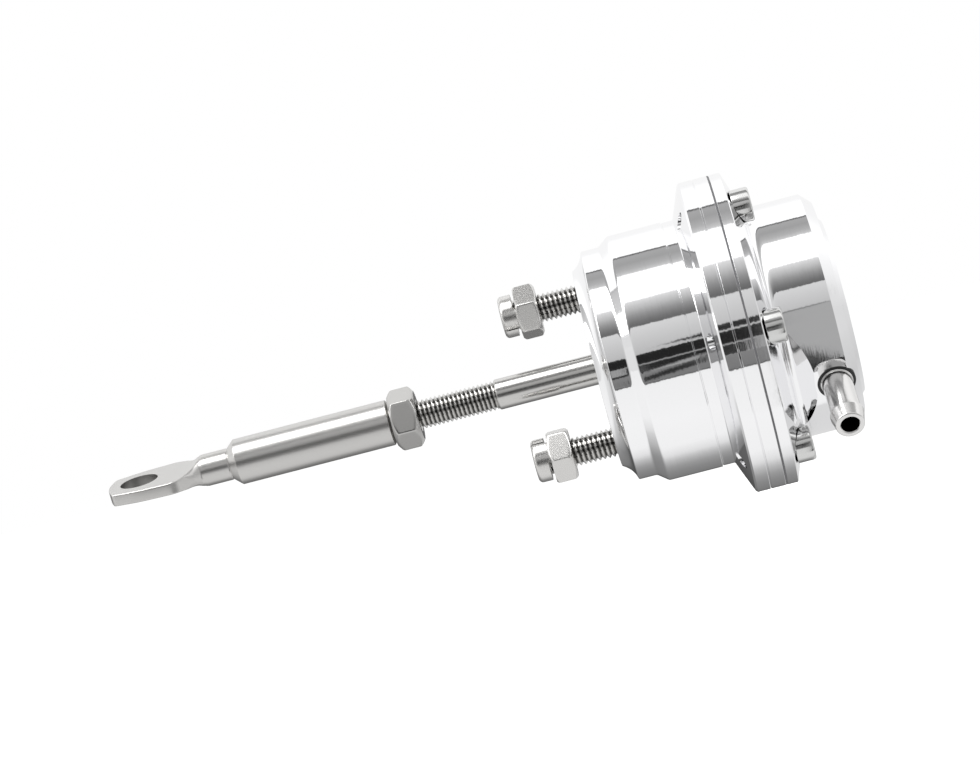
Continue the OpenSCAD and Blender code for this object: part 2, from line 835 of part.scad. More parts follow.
// Rod: threaded end, ground body and the stepped end that the piston stack is clamped on
module actuator_rod() color("gainsboro") {
    tip_x = end_x - end_hole_depth + end_hole_room;
    spigot_end_x = piston_nut_x + piston_nut_h + spigot_out;
    turned([
        [0, tip_x],
        [rod_pitch_r - rim_bevel, tip_x],
        [rod_pitch_r, tip_x + rim_bevel],
        [rod_pitch_r, stop_gap - jam_nut_place],
        [rod_thread_r, stop_gap - jam_nut_place],
        [rod_thread_r, -rod_thread_place],
        [rod_r, -rod_thread_place + rod_r - rod_thread_r],
        [rod_r, hub_x],
        [spigot_r, hub_x],
        [spigot_r, piston_nut_x],
        [spigot_pitch_r, piston_nut_x],
        [spigot_pitch_r, spigot_end_x],
        [0, spigot_end_x]
    ]);
}

// Piston: crown with a rounded edge, skirt for the diaphragm, hub and spring ring underneath
module piston() color("lightgrey") {
    turned([
        [spigot_r, hub_x],
        [hub_r, hub_x, edge_round],
        [hub_r, under_x, edge_round],
        [spring_ring_in, under_x],
        [spring_ring_in, under_x - spring_ring_h, edge_round],
        [spring_ring_out, under_x - spring_ring_h, edge_round],
        [spring_ring_out, under_x],
        [piston_r - skirt_t, under_x],
        [piston_r - skirt_t, skirt_end_x, edge_round],
        [piston_r, skirt_end_x, edge_round],
        [piston_r, crown_x, crown_round],
        [spigot_r, crown_x]
    ]);
}

module diaphragm_retainer() color("lightgrey") {
    turned([
        [spigot_r, retainer_x],
        [retainer_r, retainer_x, edge_round],
        [retainer_r, washer_x, rim_bevel],
        [spigot_r, washer_x]
    ]);
}

module piston_washer() color("silver") {
    turned([
        [spigot_r, washer_x],
        [washer_r, washer_x],
        [washer_r, piston_nut_x, rim_bevel],
        [spigot_r, piston_nut_x]
    ]);
}

module piston_nut() color("silver")
    towards_cap(piston_nut_x)
        difference() {
            hexagon(piston_nut_flats, piston_nut_h);
            translate([0, 0, -past])
                cylinder(r = spigot_pitch_r, h = piston_nut_h + 2 * past);
        }

module jam_nut() color("gainsboro")
    rotate([30 + jam_nut_turn, 0, 0])
        towards_rod_end(-jam_nut_place)
            difference() {
                hexagon(jam_nut_flats, jam_nut_h);
                translate([0, 0, -past])
                    cylinder(r = rod_pitch_r + running_gap, h = jam_nut_h + 2 * past);
            }

// The eye's outline seen along the hole: it flares from the neck and narrows to a shallow arc
module eye_outline() {
    tip = eye_place + eye_tip;
    shoulder = eye_place * 0.42;
    bulge = 0.25;
    taper = 0.45;
    tip_corner = 1.1;
    tip_narrowing = 2;
    tip_crown = 0.4;
    side = [
        [0, end_neck_r - stop_gap / 2],
        [shoulder, eye_half_w + bulge, 4],
        [eye_place, eye_half_w - taper, 20],
        [tip - tip_corner, eye_half_w - tip_narrowing, tip_corner],
        [tip + tip_crown, 0, 2 * eye_tip]
    ];
    other = [for (i = [len(side) - 2:-1:0]) [side[i][0], -side[i][1], side[i][2]]];
    polygon(outline(concat(side, other)));
}

// Seen from the side, the round neck is forged down to the eye's thickness
module eye_side() {
    forged_len = end_neck_r;
    end = eye_place + eye_tip + past;
    polygon(outline([
        [-past, end_neck_r + past],
        [0, end_neck_r + past],
        [0, end_neck_r],
        [forged_len, eye_t / 2, forged_len],
        [end, eye_t / 2],
        [end, -eye_t / 2],
        [forged_len, -eye_t / 2, forged_len],
        [0, -end_neck_r],
        [0, -end_neck_r - past],
        [-past, -end_neck_r - past]
    ]));
}

// Rod end: round bar with a threaded hole, a turned neck and a forged flat eye
module rod_end() color("gainsboro") {
    hole_r = rod_pitch_r + running_gap;
    neck_fall = (end_barrel_r - end_neck_r) / 2;
    end = eye_place + eye_tip + past;
    turned([
        [0, end_x - end_hole_depth - hole_r * tan(30)],
        [hole_r, end_x - end_hole_depth],
        [hole_r, end_x],
        [end_barrel_r - rim_bevel * 1.5, end_x],
        [end_barrel_r, end_x - rim_bevel * 1.5],
        [end_barrel_r, neck_x],
        [end_neck_r, neck_x - neck_fall],
        [end_neck_r, eye_root_x],
        [0, eye_root_x]
    ]);
    difference() {
        translate([eye_root_x, 0, 0])
            rotate([eye_lean, 0, 0])
                mirror([1, 0, 0])
                    intersection() {
                        linear_extrude(height = 4 * end_neck_r, center = true)
                            eye_outline();
                        rotate([90, 0, 0])
                            linear_extrude(height = 4 * eye_half_w, center = true)
                                eye_side();
                        rotate([0, 90, 0])
                            rotate_extrude()
                                polygon([
                                    [0, 0],
                                    [end_neck_r, 0],
                                    [eye_half_w + past, eye_place * 0.6],
                                    [eye_half_w + past, end],
                                    [0, end]
                                ]);
                    }
        translate([eye_x, 0, 0])
            rotate([eye_lean, 0, 0])
                cylinder(r = eye_hole_r, h = 4 * eye_t, center = true);
    }
}

spring_housing();
upper_stud();
lower_stud();
upper_stud_nut();
lower_stud_nut();
rod_bush();
rod_wiper();
spring_seat();
outer_spring();
inner_spring();
clamp_ring();
diaphragm();
pressure_cap();
cap_screws();
hose_barb();
barb_seal();
actuator_rod();
piston();
diaphragm_retainer();
piston_washer();
piston_nut();
jam_nut();
rod_end();
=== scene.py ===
import json
import math

import bmesh
import bpy
import numpy as np
from mathutils import Matrix, Quaternion, Vector


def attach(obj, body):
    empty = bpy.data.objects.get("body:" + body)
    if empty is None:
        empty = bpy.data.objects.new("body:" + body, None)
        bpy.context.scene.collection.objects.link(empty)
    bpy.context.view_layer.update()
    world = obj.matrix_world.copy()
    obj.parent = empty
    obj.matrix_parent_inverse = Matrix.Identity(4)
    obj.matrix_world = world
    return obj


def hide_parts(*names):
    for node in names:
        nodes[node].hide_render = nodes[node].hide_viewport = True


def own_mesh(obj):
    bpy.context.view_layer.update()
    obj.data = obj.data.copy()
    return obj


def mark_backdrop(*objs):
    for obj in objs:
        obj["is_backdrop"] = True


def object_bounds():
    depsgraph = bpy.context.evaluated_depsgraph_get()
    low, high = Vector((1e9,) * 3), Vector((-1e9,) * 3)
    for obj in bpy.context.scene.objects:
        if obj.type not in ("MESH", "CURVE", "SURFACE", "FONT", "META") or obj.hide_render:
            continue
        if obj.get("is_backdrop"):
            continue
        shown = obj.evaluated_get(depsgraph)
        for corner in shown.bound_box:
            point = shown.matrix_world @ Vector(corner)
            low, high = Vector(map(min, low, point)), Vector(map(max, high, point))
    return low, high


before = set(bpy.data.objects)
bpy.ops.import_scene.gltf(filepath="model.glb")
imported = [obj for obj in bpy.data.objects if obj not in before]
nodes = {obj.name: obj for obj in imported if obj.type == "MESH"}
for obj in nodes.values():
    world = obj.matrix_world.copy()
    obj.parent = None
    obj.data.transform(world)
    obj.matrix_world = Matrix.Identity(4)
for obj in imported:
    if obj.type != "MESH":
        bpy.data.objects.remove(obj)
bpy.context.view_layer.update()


# Spring housing: turned from an aluminium billet, drilled, and polished to a mirror. Its face takes the
# two mounting studs, and its flange is screwed to the clamp ring and the cap.
# All sizes below are in millimetres, along the rod's axis x and outwards from it r.


def linear(srgb):
    """Linear light of sRGB values from 0 to 1, by the sRGB curve."""
    srgb = np.asarray(srgb, float)
    return np.where(srgb <= 0.04045, srgb / 12.92, ((srgb + 0.055) / 1.055) ** 2.4)


def from_hex(code):
    """Linear red, green, blue and alpha of an sRGB hex colour."""
    return [*linear([int(code[i:i + 2], 16) / 255 for i in (1, 3, 5)]).tolist(), 1]


def new_material(name):
    """A material without nodes yet, and its tree."""
    material = bpy.data.materials.new(name)
    material.use_nodes = True
    material.node_tree.nodes.clear()
    return material, material.node_tree


def add(tree, kind, inputs=(), **settings):
    """Adds a node: settings are its own fields, and inputs pairs each input with a value or a socket to link to
    it."""
    made = tree.nodes.new(kind)
    for field, value in settings.items():
        setattr(made, field, value)
    for key, value in inputs:
        if isinstance(value, bpy.types.NodeSocket):
            tree.links.new(value, made.inputs[key])
        else:
            made.inputs[key].default_value = value
    return made


def turned_metal(name, code, roughness, mark, depth, wave=0.0, grain=0.0, lean=0.0, place=None, root_shade=None):
    """Metal with the fine rings of a turning tool. Their height is noise on (x, r, a little y and z), so it
    changes every `mark` mm along the axis or outwards, and slowly round it; `depth` is that height in mm.
    `wave` is the height of the soft unevenness that a polishing mop leaves, and `grain` that of a tumbled or
    plated surface. Where the mop ran round the axis, each ring's normal N also leans by up to `lean` along the
    axis cross N. `place` is the origin and turn of a piece's own axis. `root_shade` is the colour of painted
    shade in a thread's roots, which fades out as the "lift" from root to crest goes from 0 to 0.5."""
    material, tree = new_material(name)
    spot = add(tree, "ShaderNodeTexCoord").outputs["Object"]
    if place:
        spot = add(tree, "ShaderNodeMapping", [
            ("Vector", spot), ("Location", place[0]), ("Rotation", place[1])],
            vector_type="TEXTURE").outputs["Vector"]
    split = add(tree, "ShaderNodeSeparateXYZ", [("Vector", spot)])
    across = add(tree, "ShaderNodeVectorMath", [(0, spot), (1, (0, 1, 1))], operation="MULTIPLY")
    out = add(tree, "ShaderNodeVectorMath", [(0, across.outputs["Vector"])], operation="LENGTH")
    fine = 1000 / mark
    slow = add(tree, "ShaderNodeVectorMath", [(0, spot), (1, (0, 190, 260))], operation="DOT_PRODUCT")
    along = add(tree, "ShaderNodeMath", [(0, split.outputs["X"]), (1, fine)], operation="MULTIPLY")
    outwards = add(tree, "ShaderNodeMath", [(0, out.outputs["Value"]), (1, fine)], operation="MULTIPLY")
    rings = add(tree, "ShaderNodeCombineXYZ", [
        ("X", along.outputs["Value"]), ("Y", outwards.outputs["Value"]), ("Z", slow.outputs["Value"])])
    marks = add(tree, "ShaderNodeTexNoise", [
        ("Vector", rings.outputs["Vector"]), ("Scale", 1.0), ("Detail", 2.0), ("Roughness", 0.6)])
    bump = add(tree, "ShaderNodeBump", [
        ("Height", marks.outputs["Fac"]), ("Strength", 1.0), ("Distance", depth / 1000)])
    if lean:
        surface = add(tree, "ShaderNodeNewGeometry").outputs["Normal"]
        round_it = add(tree, "ShaderNodeVectorMath", [(0, (1, 0, 0)), (1, surface)], operation="CROSS_PRODUCT")
        share = add(tree, "ShaderNodeMapRange", [
            ("Value", marks.outputs["Fac"]), ("From Min", 0.3), ("From Max", 0.7), ("To Min", -lean),
            ("To Max", lean)])
        tilt = add(tree, "ShaderNodeVectorMath", [
            (0, round_it.outputs["Vector"]), ("Scale", share.outputs["Result"])], operation="SCALE")
        leaning = add(tree, "ShaderNodeVectorMath", [(0, surface), (1, tilt.outputs["Vector"])])
        even = add(tree, "ShaderNodeVectorMath", [(0, leaning.outputs["Vector"])], operation="NORMALIZE")
        tree.links.new(even.outputs["Vector"], bump.inputs["Normal"])
    if wave:
        mop = add(tree, "ShaderNodeTexNoise", [("Vector", spot), ("Scale", 700.0), ("Detail", 3.0)])
        bump = add(tree, "ShaderNodeBump", [
            ("Height", mop.outputs["Fac"]), ("Strength", 1.0), ("Distance", wave / 1000),
            ("Normal", bump.outputs["Normal"])])
    if grain:
        pits = add(tree, "ShaderNodeTexNoise", [("Vector", spot), ("Scale", 1700.0), ("Detail", 2.0)])
        bump = add(tree, "ShaderNodeBump", [
            ("Height", pits.outputs["Fac"]), ("Strength", 1.0), ("Distance", grain / 1000),
            ("Normal", bump.outputs["Normal"])])
    uneven = add(tree, "ShaderNodeMapRange", [
        ("Value", marks.outputs["Fac"]), ("From Min", 0.3), ("From Max", 0.7),
        ("To Min", roughness * 0.96), ("To Max", roughness * 1.05)])
    colour = from_hex(code)
    # Painted shade: the colour darkens from the crests down into the thread's roots
    if root_shade:
        lift = add(tree, "ShaderNodeAttribute", attribute_name="lift")
        unshaded = add(tree, "ShaderNodeMapRange", [
            ("Value", lift.outputs["Fac"]), ("From Min", 0.0), ("From Max", 0.5)])
        # 6 and 7 are the mix node's two colours, and 2 is its mixed colour
        colour = add(tree, "ShaderNodeMix", [
            ("Factor", unshaded.outputs["Result"]), (6, from_hex(root_shade)), (7, colour)],
            data_type="RGBA").outputs[2]
    metal = add(tree, "ShaderNodeBsdfPrincipled", [
        ("Base Color", colour), ("Metallic", 1.0), ("Roughness", uneven.outputs["Result"]),
        ("Normal", bump.outputs["Normal"])])
    add(tree, "ShaderNodeOutputMaterial", [("Surface", metal.outputs["BSDF"])])
    return material


def rounded(corners, steps=10):
    """Closed outline through corners (x, r, rounding), with arcs that touch both sides of a rounded corner.
    Returns its points, and for the side after each point its normal, or its arc's centre and direction."""
    corners = [tuple(c) + (0,) * (3 - len(c)) for c in corners]
    flat = np.array([c[:2] for c in corners], float)
    following = np.roll(flat, -1, 0)
    if np.sum(flat[:, 0] * following[:, 1] - following[:, 0] * flat[:, 1]) < 0:
        corners = corners[::-1]
    points, centres = [], []
    for i, (x, r, rounding) in enumerate(corners):
        here = np.array((x, r), float)
        back = np.array(corners[i - 1][:2], float) - here
        on = np.array(corners[(i + 1) % len(corners)][:2], float) - here
        back, on = back / np.linalg.norm(back), on / np.linalg.norm(on)
        if not rounding:
            points.append(here)
            centres.append((np.nan, np.nan, 0))
            continue
        half = math.acos(np.clip(back @ on, -1, 1)) / 2
        middle = (back + on) / np.linalg.norm(back + on)
        centre = here + middle * rounding / math.sin(half)
        reach = rounding / math.tan(half)
        first = here + back * reach - centre
        side = 1 if back[0] * on[1] - back[1] * on[0] < 0 else -1
        sweep = side * (math.pi - 2 * half)
        for k in range(steps + 1):
            c, s = math.cos(sweep * k / steps), math.sin(sweep * k / steps)
            points.append(centre + (first[0] * c - first[1] * s, first[0] * s + first[1] * c))
            centres.append((*centre, side) if k < steps else (np.nan, np.nan, 0))
    points = np.array(points)
    along = np.roll(points, -1, 0) - points
    normals = np.stack([along[:, 1], -along[:, 0]], 1)
    normals /= np.maximum(np.linalg.norm(normals, axis=1), 1e-12)[:, None]
    return points, normals, np.array(centres)


def quads(rows, columns, ring=True, round_rows=False):
    """Faces between neighbours of a grid of points stored row by row. ring joins the last column to the first,
    and round_rows the last row to the first."""
    i, j = np.meshgrid(np.arange(rows if round_rows else rows - 1), np.arange(columns if ring else columns - 1),
                       indexing="ij")
    down, on = (i + 1) % rows * columns, (j + 1) % columns
    return np.stack([i * columns + j, down + j, down + on, i * columns + on], -1).reshape(-1, 4)


def as_piece(name, points, faces, material, sharp=35, merge=True):
    """A new smooth-shaded mesh object from points in mm. Points that meet are merged, which closes seams and
    poles."""
    mesh = bpy.data.meshes.new(name)
    faces = faces.tolist() if isinstance(faces, np.ndarray) else faces
    mesh.from_pydata((np.asarray(points, float).reshape(-1, 3) / 1000).tolist(), [], faces)
    piece = bpy.data.objects.new(name, mesh)
    bpy.context.scene.collection.objects.link(piece)
    if merge:
        work = bmesh.new()
        work.from_mesh(mesh)
        bmesh.ops.remove_doubles(work, verts=work.verts, dist=5e-7)
        bmesh.ops.dissolve_degenerate(work, edges=work.edges, dist=1e-7)
        bmesh.ops.delete(work, geom=[edge for edge in work.edges if edge.is_wire], context="EDGES")
        work.to_mesh(mesh)
        work.free()
    mesh.shade_smooth()
    mesh.set_sharp_from_angle(angle=math.radians(sharp))
    if material:
        mesh.materials.append(material)
    return piece


def turned(name, corners, material, segments=288, steps=10):
    """A surface turned about the x axis: every point (x, r) of the rounded outline goes to (x, r cos a, r sin a)
    for a whole turn of a."""
    points, normals, centres = rounded(corners, steps)
    angle = np.arange(segments) * 2 * math.pi / segments
    x = np.repeat(points[:, :1], segments, 1)
    grid = np.stack([x, points[:, 1:] * np.cos(angle), points[:, 1:] * np.sin(angle)], -1)
    piece = as_piece(name, grid, quads(len(points), segments, round_rows=True), material)
    piece["outline"] = json.dumps([points.tolist(), normals.tolist(), np.nan_to_num(centres).tolist()])
    return piece


def cut(piece, *cutters):
    """Takes the cutters out of the piece and keeps the result as its plain mesh. The cutters are removed."""
    for cutter in cutters:
        modifier = piece.modifiers.new("cut", "BOOLEAN")
        modifier.operation, modifier.solver, modifier.object = "DIFFERENCE", "EXACT", cutter
    graph = bpy.context.evaluated_depsgraph_get()
    mesh = bpy.data.meshes.new_from_object(piece.evaluated_get(graph))
    piece.modifiers.clear()
    piece.data = mesh
    for cutter in cutters:
        bpy.data.objects.remove(cutter)
    return piece


def of_faces(mesh, field):
    """A vector for each face of the mesh: its "center" or its "normal"."""
    vectors = np.empty(len(mesh.polygons) * 3)
    mesh.polygons.foreach_get(field, vectors)
    return vectors.reshape(-1, 3)


def true_normals(piece):
    """Gives each face on the turned surface that surface's exact normals: the outline's side nearest to the
    face's middle sets them, a straight side by its slope and an arc by the line to its centre. Cut faces keep
    their own, and the edges between both kinds are sharp."""
    points, normals, centres = (np.array(part) for part in json.loads(piece["outline"]))
    del piece["outline"]
    mesh = piece.data
    mesh.set_sharp_from_angle(angle=math.radians(35))
    count = len(mesh.polygons)
    middle, face_normal = of_faces(mesh, "center") * 1000, of_faces(mesh, "normal")
    flat = np.stack([middle[:, 0], np.hypot(middle[:, 1], middle[:, 2])], 1)
    start, along = points, np.roll(points, -1, 0) - points
    length = np.maximum((along ** 2).sum(1), 1e-12)
    best, gap = np.zeros(count, int), np.full(count, 1e9)
    for k in range(len(points)):
        share = np.clip(((flat - start[k]) @ along[k]) / length[k], 0, 1)
        away = np.linalg.norm(flat - start[k] - share[:, None] * along[k], axis=1)
        nearer = away < gap - 1e-9
        best[nearer], gap[nearer] = k, away[nearer]
    corner, edge = np.empty(len(mesh.loops), int), np.empty(len(mesh.loops), int)
    mesh.loops.foreach_get("vertex_index", corner)
    mesh.loops.foreach_get("edge_index", edge)
    totals = np.empty(count, int)
    mesh.polygons.foreach_get("loop_total", totals)
    owner = np.repeat(np.arange(count), totals)
    place = np.empty(len(mesh.vertices) * 3)
    mesh.vertices.foreach_get("co", place)
    place = place.reshape(-1, 3)[corner] * 1000
    side = best[owner]
    out = np.hypot(place[:, 1], place[:, 2])
    radial = place[:, 1:] / np.maximum(out, 1e-9)[:, None]
    slope = normals[side]
    turning = centres[side]
    arc = turning[:, 2] != 0
    towards = (np.stack([place[:, 0], out], 1) - turning[:, :2]) * turning[:, 2:]
    towards /= np.maximum(np.linalg.norm(towards, axis=1), 1e-9)[:, None]
    slope = np.where(arc[:, None], towards, slope)
    exact = np.concatenate([slope[:, :1], slope[:, 1:] * radial], 1)
    near_enough, same_way = gap[owner] < 0.02, np.einsum("ij,ij->i", exact, face_normal[owner])
    belongs = near_enough & (same_way > math.cos(math.radians(12)))
    exact[~belongs] = 0
    sharp = np.empty(len(mesh.edges), bool)
    mesh.edges.foreach_get("use_edge_sharp", sharp)
    mesh.edges.foreach_set("use_edge_sharp", sharp | (np.bincount(edge, belongs, len(mesh.edges)) == 1))
    mesh.normals_split_custom_set(exact)
    return piece


def rods(name, places, radius, start, end, segments=64):
    """Plain cylinders along x from start to end at each (y, z), used to cut holes."""
    angle = np.arange(segments) * 2 * math.pi / segments
    points, faces = [], []
    for k, (y, z) in enumerate(places):
        profile = np.array([(start, 0), (start, radius), (end, radius), (end, 0)])
        grid = np.stack([np.repeat(profile[:, :1], segments, 1), y + profile[:, 1:] * np.cos(angle),
                         z + profile[:, 1:] * np.sin(angle)], -1).reshape(-1, 3)
        points.append(grid)
        faces.append(quads(4, segments)[:, ::-1] + k * len(grid))
    return as_piece(name, np.concatenate(points), np.concatenate(faces), None)


def around(angle, radius):
    """(y, z) on a circle about the x axis, at an angle in degrees from -Y towards -Z."""
    a = math.radians(angle)
    return -radius * math.cos(a), -radius * math.sin(a)


stud_places = [around(60, 17.25), around(240, 17.25)]
screw_places = [around(60 * k, 28.4) for k in range(6)]

# Mirror-polished aluminium: almost white, sharp reflections, broken by hair-fine rings about 0.3 mm apart
polished_aluminium = turned_metal("polished_aluminium", "#F5F5F6", 0.05, 0.3, 0.0012, wave=0.0025, lean=0.004)

housing = turned("housing", [
    (0, 6.0, 0.2), (0, 20.5, 0.15), (2.04, 21.83, 5.0), (2.65, 24.0, 0.3), (6.4, 24.0, 1.1), (8.6, 25.7, 1.1),
    (19.8, 25.7, 0.05), (19.85, 25.4), (20.05, 25.4), (20.1, 25.52, 0.05), (22.4, 25.52, 0.3),
    (25.0, 32.1), (25.4, 32.5, 0.12), (28.0, 32.5, 0.1), (28.2, 32.3), (28.2, 22.4, 0.3), (5.5, 22.4, 0.8),
    (5.5, 8.0, 0.8), (17.5, 8.0, 0.4), (17.5, 4.9, 0.15), (3.0, 4.9), (3.0, 6.0)], polished_aluminium)
cut(housing,
    rods("cut_studs", stud_places, 3.075, -1, 0.6), rods("cut_stud_threads", stud_places, 2.7, -1, 4.65),
    rods("cut_screws", screw_places, 1.8, 21, 29), rods("cut_vent", [around(-30, 12.8)], 1.0, -1, 7))
true_normals(housing)
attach(housing, "housing")
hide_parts("spring_housing")


# Rod bush and wiper: a sintered bronze sleeve pressed into the housing's nose, and behind the mouth of its
# bore a moulded rubber ring that wipes the rod. Both keep the shape of the CAD parts.


def moulded_rubber(name, code, roughness, scale):
    """Rubber, matt and dark, with the faint orange peel of its mould, `scale` bumps to the metre."""
    material, tree = new_material(name)
    spot = add(tree, "ShaderNodeTexCoord").outputs["Object"]
    peel = add(tree, "ShaderNodeTexNoise", [("Vector", spot), ("Scale", scale), ("Detail", 3.0)])
    bump = add(tree, "ShaderNodeBump", [
        ("Height", peel.outputs["Fac"]), ("Strength", 1.0), ("Distance", 0.00003)])
    shade = add(tree, "ShaderNodeMapRange", [
        ("Value", peel.outputs["Fac"]), ("To Min", roughness * 0.85), ("To Max", roughness * 1.15)])
    rubber = add(tree, "ShaderNodeBsdfPrincipled", [
        ("Base Color", from_hex(code)), ("Roughness", shade.outputs["Result"]), ("IOR", 1.52),
        ("Normal", bump.outputs["Normal"])])
    add(tree, "ShaderNodeOutputMaterial", [("Surface", rubber.outputs["BSDF"])])
    return material


def finish_node(name, material):
    """Gives a CAD node its material."""
    nodes[name].data.materials.clear()
    nodes[name].data.materials.append(material)


# Sintered bronze: warm brown, with the fine pores of pressed powder
sintered_bronze = turned_metal("sintered_bronze", "#A98455", 0.38, 0.25, 0.004, grain=0.004)
# Nitrile rubber: black with a soft sheen
nitrile_rubber = moulded_rubber("nitrile_rubber", "#1A1A1B", 0.5, 1500.0)
finish_node("rod_bush", sintered_bronze)
finish_node("rod_wiper", nitrile_rubber)


# Spring seat and the two return springs: a zinc plated steel pressing on the housing floor, and two coils of
# oiled spring wire with closed ends, which the piston presses towards the floor.


def coil(name, mean_r, wire, turns, start, length, material, sides=12, steps=36):
    """A compression spring: its wire's centre goes round at mean_r and rises evenly, except for the closed first
    and last turn, and a circle of the wire's radius is carried along it, in planes through the axis."""
    turn = np.linspace(0, turns, int(turns * steps) + 1)
    closed, span = wire * 1.03, length - wire
    rise = (span - 2 * closed) / (turns - 2)
    height = wire / 2 + np.where(turn < 1, closed * turn, np.where(
        turn > turns - 1, span - closed * (turns - turn), closed + rise * (turn - 1)))
    a = np.arange(sides) * 2 * math.pi / sides
    radius = np.concatenate([[0], np.full(len(turn), wire / 2 * 0.99), [0]])
    turn = np.concatenate([turn[:1], turn, turn[-1:]])
    height = np.concatenate([height[:1], height, height[-1:]])
    out = mean_r + radius[:, None] * np.cos(a)
    up = start + height[:, None] + radius[:, None] * np.sin(a)
    angle = (2 * math.pi * turn)[:, None]
    grid = np.stack([up, out * np.sin(angle), -out * np.cos(angle)], -1)
    return as_piece(name, grid, quads(len(turn), sides), material, sharp=50)


# Oiled spring steel: dark grey, drawn wire with a slight sheen
oiled_spring_steel = turned_metal("oiled_spring_steel", "#6E6F72", 0.3, 0.4, 0.002, grain=0.002)
# Zinc plated sheet steel: pale bluish grey, slightly uneven
zinc_plated_steel = turned_metal("zinc_plated_steel", "#C4C6C8", 0.3, 0.5, 0.002, grain=0.002)
finish_node("spring_seat", zinc_plated_steel)
for name, mean_r, wire, turns in (("outer_spring", 16, 2.2, 5.75), ("inner_spring", 10.5, 1.7, 7)):
    spring = coil(name + "_wire", mean_r, wire, turns, 6.1, 25.45, oiled_spring_steel)
    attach(spring, "housing")
    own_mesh(spring)
    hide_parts(name)


# Push rod: ground stainless steel, with a 1/4 in thread rolled on its outer end and a stepped inner end that
# the piston, retainer plate and washer are clamped on by the piston nut.


def threaded(name, start, end, crest, root, pitch, tip, material, columns=60):
    """A threaded length: rows of points follow the helix, x = start + pitch (row + angle share), so that each
    row keeps one radius of the thread's section. Ends are cut square, and bevelled from radius `tip`. Its
    "lift" is 0 at the root and 1 at the crest."""
    section = np.array([0, 0.04, 0.14, 0.32, 0.42, 0.46, 0.5, 0.54, 0.58, 0.68, 0.86, 0.96, 0.985, 1.0])
    high = np.interp(section, [0, 0.06, 0.44, 0.56, 0.94, 1], [0, 0.0, 1, 1, 0.0, 0])
    turns = int(math.ceil((end - start) / pitch)) + 1
    step = np.concatenate([(section[:-1] + k) for k in range(-1, turns)])
    lift = np.tile(high[:-1], turns + 1)
    share = np.arange(columns) / columns
    x = np.clip(start + pitch * (step[:, None] + share), start, end)
    r = root + (crest - root) * lift[:, None] + 0 * share
    r = np.minimum(r, tip + np.minimum(x - start, end - x))
    x = np.concatenate([np.full((1, columns), start), x, np.full((1, columns), end)])
    r = np.concatenate([np.zeros((1, columns)), r, np.zeros((1, columns))])
    angle = 2 * math.pi * share
    grid = np.stack([x, -r * np.cos(angle), -r * np.sin(angle)], -1).reshape(-1, 3)
    per = len(section) - 1
    last = len(x) - 1
    i = np.arange(1, last - 1)
    plain = quads(len(x), columns, ring=False)
    seam = np.stack([i * columns + columns - 1, (i + 1) * columns + columns - 1,
                     np.minimum(i + 1 + per, last - 1) * columns, np.minimum(i + per, last - 1) * columns], -1)
    faces = np.concatenate([plain, seam])[:, ::-1]
    piece = as_piece(name, grid, faces, material, sharp=30)
    place = np.empty(len(piece.data.vertices) * 3)
    piece.data.vertices.foreach_get("co", place)
    out = np.hypot(*place.reshape(-1, 3).T[1:]) * 1000
    lift = piece.data.attributes.new("lift", "FLOAT", "POINT")
    lift.data.foreach_set("value", ((out - root) / (crest - root)).astype(np.float32))
    return piece


# Ground stainless steel: light grey, with fine rings 0.25 mm apart that blur reflections along the rod
ground_stainless = turned_metal("ground_stainless", "#CAC9C7", 0.2, 0.25, 0.0003)
# Rolled stainless thread: bright crests and flanks, with painted shade darkening them towards the roots
rolled_stainless = turned_metal("rolled_stainless", "#D2D1CF", 0.1, 0.3, 0.0006, root_shade="#504F4D")
rod = turned("rod_shaft", [
    (-60.5, 0), (-60.5, 2.45, 0.1), (-21.5, 2.45), (-21.3, 2.95, 0.05), (-21.05, 3.175, 0.1),
    (29.55, 3.175, 0.1), (29.55, 2.5), (36.75, 2.5), (36.75, 2.25), (41.55, 2.25, 0.2), (41.55, 0)],
    ground_stainless, segments=128)
true_normals(rod)
rod_thread = threaded("rod_thread", -43.0, -21.25, 3.0, 2.5, 0.907, 2.62, rolled_stainless)
for piece in (rod, rod_thread):
    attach(piece, "push_rod")
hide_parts("actuator_rod")


# Piston stack: a turned aluminium piston and retainer plate clamp the diaphragm between them, under a zinc
# plated washer and nut. Hidden inside the housing and kept as the CAD parts.

# Aluminium as turned: pale grey with visible tool rings 0.35 mm apart
turned_aluminium = turned_metal("turned_aluminium", "#CFCFD1", 0.28, 0.35, 0.006)
finish_node("piston", turned_aluminium)
finish_node("diaphragm_retainer", turned_aluminium)
finish_node("piston_washer", zinc_plated_steel)
finish_node("piston_nut", zinc_plated_steel)


# Diaphragm: fabric reinforced rubber, clamped at its rim under the cap and rolling between the bore and the
# piston as the rod moves. Its crown and its rim are two pieces, so that the crown follows the piston.

# Fabric reinforced rubber: dark grey and matt, with the weave showing through
fabric_rubber = moulded_rubber("fabric_rubber", "#5A5A5C", 0.65, 1200.0)
rim_of_diaphragm = turned("diaphragm_rim", [
    (31.2, 32.45), (31.6, 32.45, 0.1), (31.6, 21.95, 1.1), (27.5, 21.95), (27.5, 22.35), (31.2, 22.35, 0.7)],
    fabric_rubber, segments=192)
cut(rim_of_diaphragm, rods("cut_rim", screw_places, 2.15, 30, 33))
crown_of_diaphragm = turned("diaphragm_crown", [
    (27.4, 20.05), (34.05, 20.05, 1.05), (34.05, 2.5), (34.45, 2.5), (34.45, 20.45, 1.45), (27.4, 20.45)],
    fabric_rubber, segments=192)
true_normals(rim_of_diaphragm)
true_normals(crown_of_diaphragm)
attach(rim_of_diaphragm, "housing")
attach(crown_of_diaphragm, "push_rod")
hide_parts("diaphragm")


